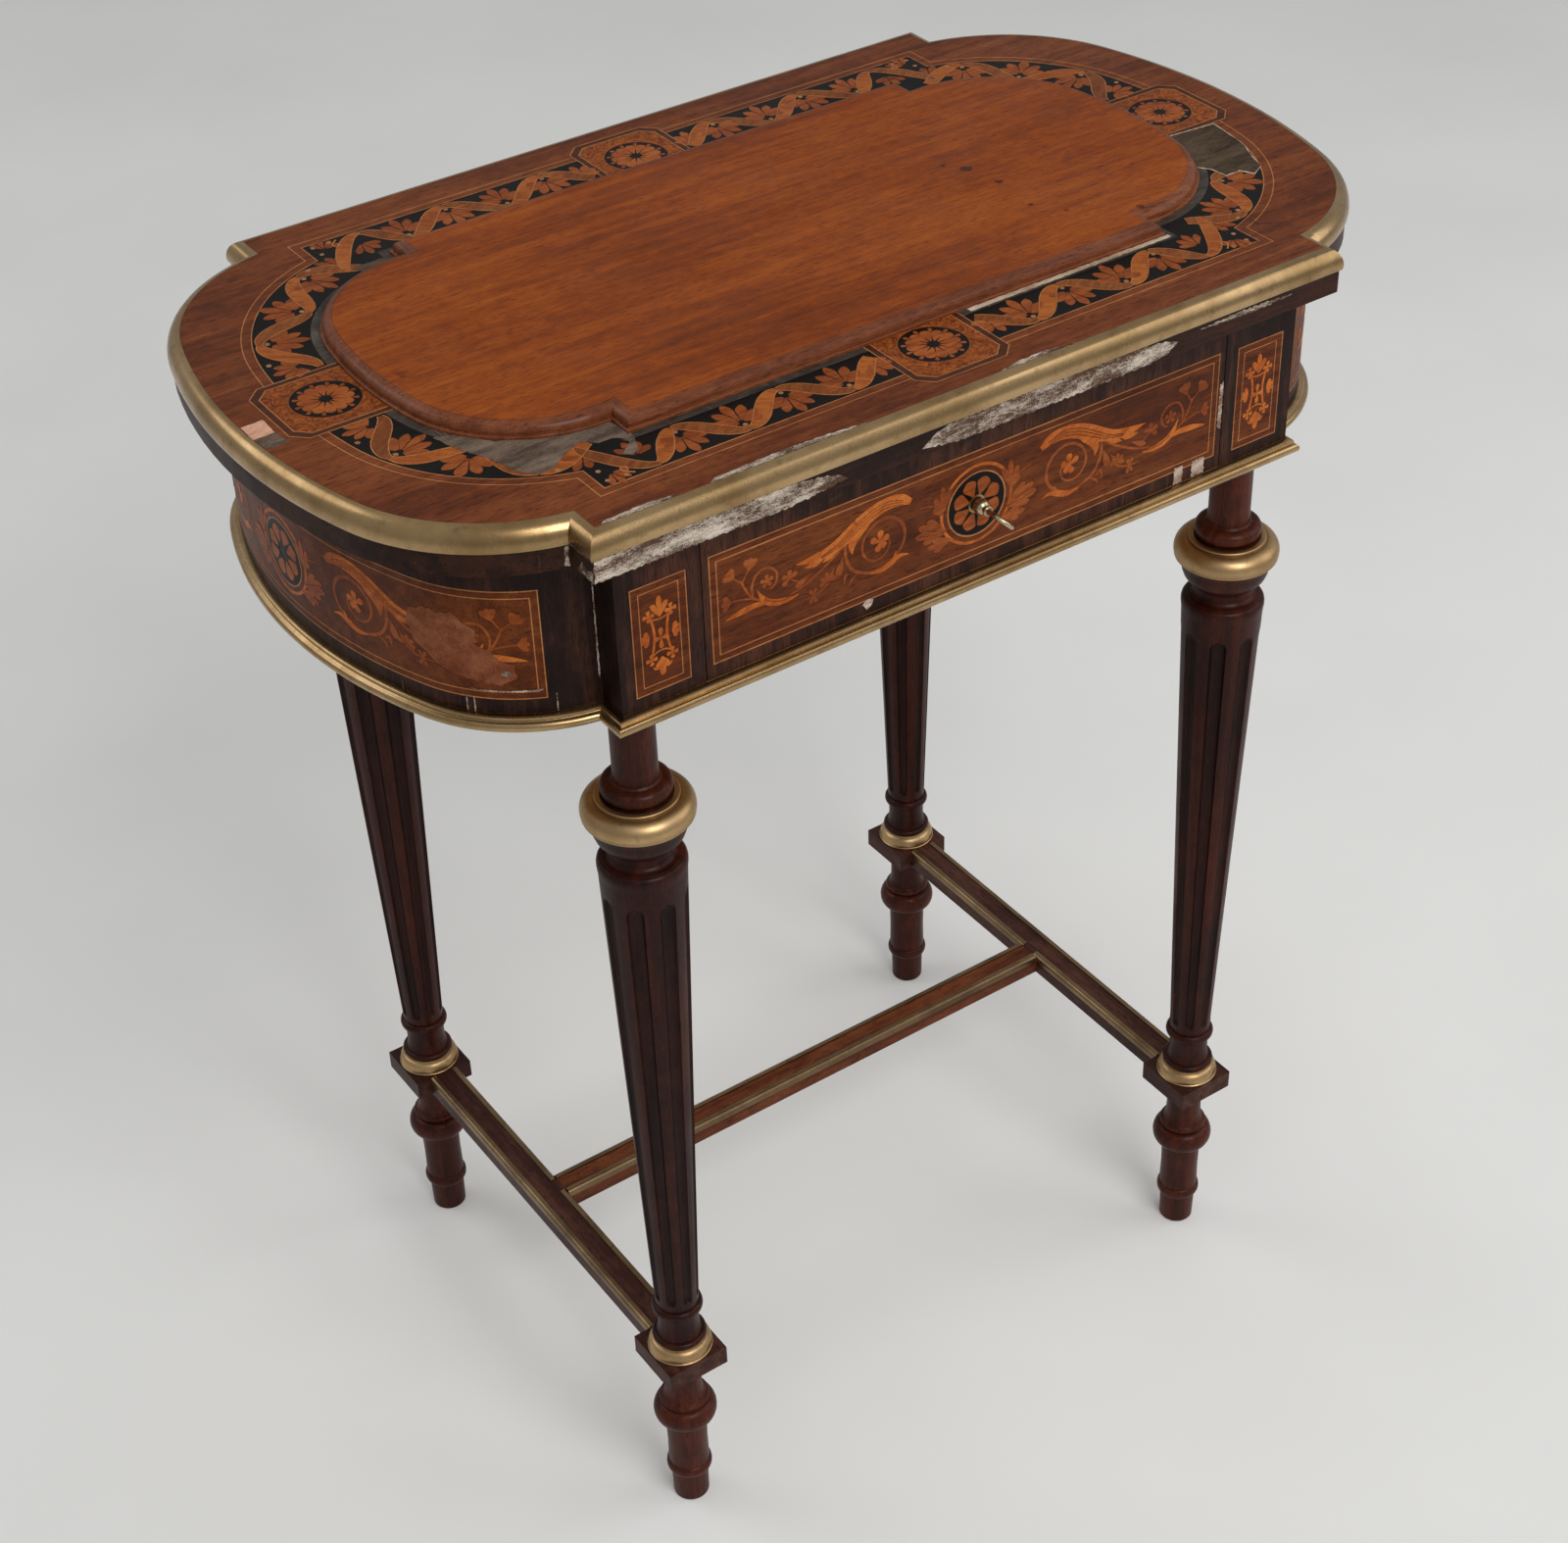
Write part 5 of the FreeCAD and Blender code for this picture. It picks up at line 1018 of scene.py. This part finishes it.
# Losses on the lid: veneer missing beside the panel at the front left and the right end, a pale mended
# patch by the left brass, slivers gone along the front and a length of boxwood left in the inner groove.
def torn(points, rough, step=2.5):
    """Outline with a broken edge: points set along it are pushed in and out by a fixed pattern."""
    ring = []
    for (x0, y0), (x1, y1) in zip(points, points[1:] + points[:1]):
        long = hypot(x1 - x0, y1 - y0)
        count = max(1, round(long / step))
        for number in range(count):
            share = number / count
            x, y = x0 + (x1 - x0) * share, y0 + (y1 - y0) * share
            push = rough * (sin(x * 1.7 + y * 2.3) + 0.6 * sin(x * 3.9 - y * 1.1))
            ring.append((x + (y1 - y0) / long * push, y - (x1 - x0) / long * push))
    return ring


def chalky(name, board, filler, low=0.9, high=1.3):
    """Bare board where veneer is missing, with old glue and white filler in its grain."""
    material, tree, surface, spot = shader(name)
    patch = speckle(tree, spot, (30, 110, 110), 3, 0.6)
    streak = speckle(tree, spot, (260, 900, 900), 4, 0.7)
    grain = speckle(tree, spot, (1700, 1700, 1700), 2, 0.6)
    share = calc(tree, "ADD", patch, calc(tree, "MULTIPLY", streak, 0.6))
    share = ramp(tree, calc(tree, "ADD", share, calc(tree, "MULTIPLY", grain, 0.6)), low, high)
    colour = mixed(tree, share, tone(*board), tone(*filler))
    surfaced(tree, surface, colour, ramp(tree, grain, 0.3, 0.7, 0.7, 0.95), share, 0.5, 0.0004)
    surface["Specular IOR Level"].default_value = 0.1
    return material


BARE_WOOD = chalky("bare_board", (68, 54, 44), (124, 106, 91))
GREY_WOOD = chalky("grey_board", (46, 35, 26), (92, 76, 60))
PALE_LINE = chalky("pale_line", (150, 122, 96), (216, 198, 174))
PALE_WOOD = chalky("pale_patch", (180, 122, 92), (222, 178, 150))
CHALKY = chalky("chalky_board", (80, 56, 42), (204, 190, 174), 1.0, 1.3)
wave_loss = [
    (-247, -66), (-244, -80), (-240, -90), (-235, -100), (-232, -112), (-229, -121), (-223, -127),
    (-215, -126.6), (-207, -121), (-200, -116), (-194, -113.4), (-189, -116), (-186, -119.6),
    (-178, -119.6), (-174.6, -123), (-173.4, -128), (-178, -131.6), (-182, -135.6), (-178.6, -138.6),
    (-174, -137), (-171, -131), (-169, -125), (-168, -118), (-172, -104), (-200, -100), (-225, -88),
    (-238, -70)
]
end_marks = (
    (30.4, -21), (30.4, 15), (56, 15.2), (84, 15.2), (92, 11), (88, 3), (94, -5), (85, -12), (79, -21)
)
end_loss = [on_band(band_long / 2 - back, out) for back, out in end_marks]
rim_marks = (
    (29.6, -21), (29.6, 15.5), (56, 15.7), (84.6, 15.7), (93, 11), (88.8, 3), (95, -5), (86, -12), (80, -21)
)
end_rim = [on_band(band_long / 2 - back, out) for back, out in rim_marks]
step_loss = [(-194, 117), (-168, 118), (-167, 106), (-180, 104), (-192, 108)]
pale_loss = [(-317.6, 0), (-305.4, 0.6), (-306, -14), (-317.6, -14.4)]
hatched_loss = [(-317.6, -14.4), (-306, -14), (-304.4, -27), (-317, -26.4)]
standing_line = [(36, -121.2), (172, -121.2), (172, -124), (36, -124.4)]
left_sliver = [(-224, -182.9), (-221, -180.8), (-197, -179.4), (-184, -180.8), (-178, -182.9)]
front_sliver = [(-163, -182.9), (-159, -180.4), (-120, -179), (-96, -180), (-70, -182.9)]
right_sliver = [(10, -182.9), (22, -180.4), (40, -179.6), (57, -182.9)]
for label, shape, rough, top, material in (
    ("wave", wave_loss, 0.25, 0.34, BARE_WOOD),
    ("end_rim", end_rim, 0.2, 0.32, PALE_LINE),
    ("end", end_loss, 0.3, 0.34, GREY_WOOD),
    ("step", step_loss, 0.3, 0.34, GREY_WOOD),
    ("pale", pale_loss, 0.15, 0.2, PALE_WOOD),
    ("hatched", hatched_loss, 0.3, 0.18, BARE_WOOD),
    ("line", standing_line, 0.2, 0.3, PALE_LINE),
    ("left_sliver", left_sliver, 0.3, 0.14, CHALKY),
    ("front_sliver", front_sliver, 0.3, 0.14, CHALKY),
    ("right_sliver", right_sliver, 0.3, 0.14, CHALKY),
):
    shapes = [[torn(shape, rough)]]
    inlaid(f"lid_loss_{label}", shapes, level(LID_TOP), top, material, "lid", "border_veneer")

# Raised panel: a sheet of warm orange-brown mahogany veneer on a board, with a few old ink spots.
# A dark rosewood moulding is mitred round it: a narrow foot, a quirk and a rounded upper edge.
PANEL_TOP = 742.9
PANEL_WOOD = wood("panel_mahogany", (86, 32, 2), (136, 61, 6), (164, 84, 15), wear=0.2, worn=(150, 84, 38))
panel = [[(*spot, height) for spot in stepped(PANEL, -7)] for height in (734, PANEL_TOP)]
built(capped(panel), "raised_panel", PANEL_WOOD, "lid", "panel_veneer", "lid_panel")
MOULDING_WOOD = wood(
    "moulding_rosewood", (60, 26, 13), (108, 56, 31), (144, 86, 54), wear=0.25, polish=0.18
)
ovolo = [(-7.1, 734), (0, 734), (0, 736.4), (-0.4, 736.8), (-1.6, 736.9), (-1.7, 737.6)]
ovolo += [(-6.6 + 5.2 * cos(radians(a)), 737.9 + 4.7 * sin(radians(a))) for a in range(0, 91, 9)]
ovolo += [(-6.8, 742.5), (-7.1, 742.8)]
built(moulding(PANEL, ovolo), "panel_moulding", MOULDING_WOOD, "lid", "panel_veneer")
INK = wood("old_ink", (46, 18, 4), (78, 33, 6), (112, 50, 10), wear=0)
ink_spots = (
    (127, -3, 3.4), (131, -27, 2.4), (127, -60, 1.5), (138, -77, 1.3), (172, -98, 2.2), (119, 8, 1.5)
)
shapes = [[torn(disc(x, y, radius, 24), radius * 0.16, 1)] for x, y, radius in ink_spots]
inlaid("panel_ink_spots", shapes, level(PANEL_TOP), 0.02, INK, "lid", "panel_veneer")

# Mirror under the lid: silvered glass, a little foxed, let into the lid board.
# A mitred rosewood moulding holds it, as it would a picture.
GLASS, tree, surface, spot = shader("mirror_silver")
foxing = speckle(tree, spot, (60, 60, 60), 6, 0.7)
colour = mixed(tree, ramp(tree, foxing, 0.62, 0.78), tone(226, 228, 226), tone(120, 112, 98))
feed(tree, surface["Base Color"], colour)
feed(tree, surface["Roughness"], ramp(tree, foxing, 0.5, 0.8, 0.02, 0.3))
surface["Metallic"].default_value = 1
dress(GLASS, "mirror")


GLASS_HALF, GLASS_DEEP = 176, 111


def rectangle(across, deep, height):
    return [
        (-across, -deep, height), (across, -deep, height), (across, deep, height), (-across, deep, height)
    ]


bar = [(0, 709.2), (0, 707.8), (1.6, 706.6), (3.2, 706.2), (4, 705.2), (6, 704.6), (9, 704.3), (12, 704.5)]
bar += [(14.2, 705.4), (15, 706.6), (15, 709.2), (0, 709.2)]
bars = [rectangle(GLASS_HALF + out, GLASS_DEEP + out, height) for out, height in bar]
built(swept(bars), "mirror_moulding", EDGE_WOOD, "lid", "lid_edge_wood", "mirror_frame")

# Losses on the lid's front edge: the rosewood has split off below the brass and shows the grey board,
# with white filler rubbed into it.
EDGE_IN = 1.5
edge_losses = [
    [
        (-233, 709.7), (-233, 721.6), (-150, 721.8), (-118, 721.6), (-101, 719), (-93, 716.5), (-89, 713.4),
        (-103, 711.6), (-126, 709.7)
    ],
    [
        (-44, 713), (-37, 718.6), (-25, 721.6), (96, 721.7), (112, 720), (121, 717), (116, 713),
        (104, 710.6), (60, 709.7), (-22, 709.7)
    ],
    [(136, 719), (160, 720.6), (188, 720.2), (200, 718.6), (171, 717.4)],
]


def on_edge(x, y, lift):
    return (x, EDGE_IN - LID[1] - lift, y)


def on_step(x, y, lift):
    return (EDGE_IN - LID[0] - lift, x, y)


lid_end = [(-x, y) for x, y in bowed(*LID, -EDGE_IN, 60)][::-1]
lid_run = follow(lid_end)[0] / 2
step_chip = [
    (-189, 709.7), (-189, 717), (-185, 714.6), (-180, 716.6), (-175, 712), (-176, 709.8), (-183, 710.6)
]
end_chip = [(lid_run - 3.6, 711), (lid_run - 1.2, 710), (lid_run - 1, 720.6), (lid_run - 2.6, 721)]
for label, rings, place in (
    ("front", edge_losses, on_edge),
    ("step", [step_chip], on_step),
    ("end", [end_chip], on_path(lid_end)),
):
    shapes = [[torn(ring, 0.45, 2)] for ring in rings]
    inlaid(f"lid_edge_losses_{label}", shapes, place, 0.12, CHALKY, "lid", "lid_edge_wood")

# Losses on the left bowed end: a broad patch where the marquetry has come away down to pinkish ground,
# with splits above the brass moulding and a chipped upright edge.
GROUND_WOOD = chalky("marquetry_ground", (104, 52, 30), (142, 88, 60))
left_end = [(-x, y) for x, y in bowed(*APRON, 0, 60)][::-1]
end_run = follow(left_end)[0] / 2
ground_patch = [
    (103, 672), (112, 676), (122, 674), (127, 676), (134, 670), (140, 668), (138, 660), (146, 656)
]
ground_patch += [
    (150, 650), (157, 648), (158, 640), (150, 636), (136, 638), (124, 641), (112, 647), (104, 655),
    (100, 664)
]
splits = [[(u, low), (u + 0.5, low), (u + 0.7, high), (u + 0.1, high)]
          for u, low, high in ((92, 619.4, 625), (131, 619.4, 629), (135, 619.4, 628), (176, 619.4, 630))]
splits += [[(134, 633), (152, 632.6), (170, 633.2), (170, 632.4), (150, 631.8)]]
splits += [[(end_run - 1.4, 634), (end_run - 0.6, 632), (end_run - 0.5, 700), (end_run - 1, 701)]]
splits += [[(150, 643), (154, 645), (156, 642.6), (152, 641)]]
bends = [4 * n for n in range(-46, 47)]
losses = (("patch", [ground_patch], 0.6, GROUND_WOOD), ("splits", splits, 0.12, CHALKY))
for label, rings, rough, material in losses:
    shapes = [[torn(ring, rough, 2)] for ring in rings]
    name = f"end_left_loss_{label}"
    inlaid(name, shapes, on_path(left_end), 0.32, material, "carcase", "frieze_veneer", bends)

# Hinges: cast brass leaves and pins, one leaf let into the lid and the other screwed to the back rail.
# Each leaf is held by three countersunk steel screws with filed slots.
for side in ("left", "right"):
    dress(BRASS, f"hinge_carcase_leaf_{side}", f"hinge_lid_leaf_{side}", f"hinge_pin_{side}")
SLOT_HALF = 0.35


def screws(spots, angles, lean):
    """Screw heads standing a little proud, each turned to its own angle, the slot cut across it."""
    bm = bmesh.new()
    for (x, y, z), angle in zip(spots, angles):
        head = turned([(2.7, 0), (2.7, 0.12), (2.2, 0.42), (1.2, 0.6), (0, 0.64)], 24)
        for cut in (SLOT_HALF, -SLOT_HALF):
            whole = list(head.verts) + list(head.edges) + list(head.faces)
            bmesh.ops.bisect_plane(head, geom=whole, dist=0.0001, plane_co=(0, cut, 0), plane_no=(0, 1, 0))
        for vert in head.verts:
            if abs(vert.co.y) < 0.2 and vert.co.z > 0.1:
                vert.co.z = 0.1
        slot_faces = [face for face in head.faces if abs(face.calc_center_median().y) < SLOT_HALF - 0.01]
        made = bmesh.ops.extrude_face_region(head, geom=slot_faces)["geom"]
        bmesh.ops.delete(head, geom=slot_faces, context="FACES")
        for vert in (item for item in made if isinstance(item, bmesh.types.BMVert)):
            vert.co.z = 0.05
        swung(head, angle, "Z")
        swung(head, lean, "X")
        shifted(head, x, y, z)
        join(bm, head)
    return bm


STEEL = metal("lock_steel", (150, 150, 150), (112, 110, 108), stain=(70, 50, 36))
places = [x + off for x in (-130, 130) for off in (-15, 0, 15)]
leaf_screws = screws([(x, 180, 688.5) for x in places], (20, 75, 130, 50, 100, 160), -90)
built(leaf_screws, "carcase_leaf_screws", STEEL, "carcase", "steel")
leaf_screws = screws([(x, 160, 709.3) for x in places], (35, 90, 145, 10, 60, 120), 180)
built(leaf_screws, "lid_leaf_screws", STEEL, "lid", "steel")

# Drawer: a rosewood front with the same scrolls as the ends, on an oak box dovetailed at its corners.
# A steel lock is screwed inside the front, and a brass ring lines its keyhole. Veneer has chipped off.
DRAWER_WOOD = wood("drawer_rosewood", (12, 5, 3), (44, 21, 13), (92, 54, 36), grain=(0, 90, 0), wear=0.2)
dress(DRAWER_WOOD, "drawer_front")


def on_drawer(x, y, lift):
    return (x, -FRONT - lift, y)


scroll_panel("drawer", "drawer", 163.5, on_drawer, ())
keyhole = [[disc(0, MIDDLE, 5.2), disc(0, MIDDLE, 4)]]
inlaid("drawer_escutcheon", keyhole, on_drawer, 0.2, SATIN_BRASS, "drawer", "brass")
RUBBED = chalky("rubbed_ground", (118, 84, 66), (206, 188, 172))
drawer_losses = [
    [(135, 619.8), (141, 619.8), (141.4, 629.6), (135.6, 629.8)],
    [(147.6, 619.8), (156.6, 619.8), (156.4, 629.8), (148, 629.6)],
    [(164.4, 645), (167, 643), (167.2, 672), (165, 671), (164.6, 662)],
    [(-73, 626), (-69, 628.6), (-66, 627), (-67, 623.6), (-70, 622.4)],
]
shapes = [[torn(ring, 0.3, 1.5)] for ring in drawer_losses]
inlaid("drawer_losses", shapes, on_drawer, 0.16, RUBBED, "drawer", "frieze_veneer")
dress(CARCASE_WOOD, "drawer_side_left", "drawer_side_right", "drawer_back", "drawer_bottom")
END_GRAIN = wood(
    "oak_end_grain", (74, 50, 28), (118, 86, 52), (146, 112, 72), grain=(0, 0, 90), wear=0.2, polish=0
)
DRAWER_HALF = 167.4
pins = []
for height in (620.6, 633.6, 647, 660):
    for tip, root in ((-166.8, -159), (127.8, 118)):
        pins.append([[(tip, height - 1.3), (root, height - 3), (root, height + 1.2), (tip, height + 1.2)]])
for side, way in (("left", -1), ("right", 1)):

    def on_side(y, z, lift):
        return (way * (DRAWER_HALF + lift), y, z)

    inlaid(f"drawer_dovetails_{side}", pins, on_side, 0.05, END_GRAIN, "drawer", "carcase_wood")
dress(STEEL, "lock_case", "lock_bolt")
lock_screws = screws([(x, -159, z) for x in (-23, 23) for z in (642, 676)], (15, 80, 120, 160), -90)
built(lock_screws, "lock_screws", STEEL, "drawer", "steel")

# Key: brass, turned with a ball and a collar on its shank, a rounded oval bow and a flat bit brazed on.
# It stands in the lock with the bow askew.
key_profile = [(0, -16.3), (2, -16.3), (2, 0.3)] + bead(4.4, 0.3, 8, 3.5, 14) + [(1.9, 8.1), (1.8, 8.5)]
key_profile += bead(3, 8.6, 10.5, 1, 6) + [(1.9, 10.7), (1.4, 11.6), (0, 11.8)]
key = turned(key_profile, 32)
bow = turned([(7.5 + 1.5 * cos(pi * n / 6), 1.3 * sin(pi * n / 6)) for n in range(13)], 48)
swung(bow, 90, "X")
bmesh.ops.scale(bow, vec=(0.92, 1, 1), verts=bow.verts)
shifted(bow, 0, 0, 19.5)
join(key, bow)
bit = bmesh.ops.create_cube(key, size=1)["verts"]
bmesh.ops.scale(key, vec=(6.5, 1.6, 5), verts=bit)
bmesh.ops.translate(key, vec=(3.25, 0, -13.8), verts=bit)
swung(key, 90, "X")
swung(key, 45, "Y")
shifted(key, 0, -FRONT, MIDDLE)
KEY_BRASS = metal("key_brass", (204, 186, 156), (158, 138, 108), rough=(0.18, 0.34), stain=(96, 78, 58))
built(key, "brass_key", KEY_BRASS, "key", "brass", "key")

# Studio: a pale floor that meets an even sky, three soft lamps,
# and the camera where the photograph was taken.
floor = bmesh.new()
bmesh.ops.create_grid(floor, x_segments=4, y_segments=4, size=60)
mesh = bpy.data.meshes.new("studio_floor")
floor.to_mesh(mesh)
floor.free()
FLOOR, tree, surface, spot = shader("pale_floor")
grey = ramp(tree, speckle(tree, spot, (3, 3, 3), 4), 0.3, 0.7)
feed(tree, surface["Base Color"], mixed(tree, grey, tone(232, 232, 230), tone(238, 238, 236)))
surface["Roughness"].default_value = 0.9
mesh.materials.append(FLOOR)
floor = bpy.data.objects.new("studio_floor", mesh)
scene = bpy.context.scene
scene.collection.objects.link(floor)

for name, place, size, watts in (
    ("key_lamp", (-0.1, -2.35, 2.6), 1.6, 46),
    ("fill_lamp", (2.0, -1.2, 1.7), 1.8, 14),
    ("back_lamp", (-1.4, 1.7, 2.2), 1.4, 10),
):
    lamp = bpy.data.lights.new(name, "AREA")
    lamp.size = size
    lamp.energy = watts
    holder = bpy.data.objects.new(name, lamp)
    holder.location = place
    holder.rotation_euler = (Vector((0, 0, 0.45)) - Vector(place)).to_track_quat("-Z", "Y").to_euler()
    scene.collection.objects.link(holder)

scene.world = bpy.data.worlds.new("studio")
scene.world.use_nodes = True
sky = scene.world.node_tree
backdrop = sky.nodes["Background"].inputs
backdrop["Color"].default_value = (1, 1, 1, 1)
towards = add(sky, "ShaderNodeTexCoord").outputs["Generated"]
way_up = add(sky, "ShaderNodeSeparateXYZ", Vector=towards).outputs["Z"]
rays = add(sky, "ShaderNodeLightPath").outputs
seen = calc(sky, "MAXIMUM", rays["Is Glossy Ray"], rays["Is Transmission Ray"])
seen = calc(sky, "MAXIMUM", rays["Is Camera Ray"], seen)
feed(sky, backdrop["Strength"], ramp(sky, way_up, 0, 0.9, ramp(sky, seen, 0, 1, 0.3, 0.385), 0.5))

camera = bpy.data.cameras.new("photo_camera")
camera.lens = 64.3
camera.sensor_width = 36
holder = bpy.data.objects.new("photo_camera", camera)
turn = Matrix.Rotation(radians(-33.39), 4, "Z") @ Matrix.Rotation(radians(90 - 37.27), 4, "X")
turn = turn @ Matrix.Rotation(radians(-2.21), 4, "Z")
holder.matrix_world = Matrix.Translation((-0.7596, -1.1408, 1.4218)) @ turn
scene.collection.objects.link(holder)
scene.camera = holder
scene.view_settings.view_transform = "Standard"
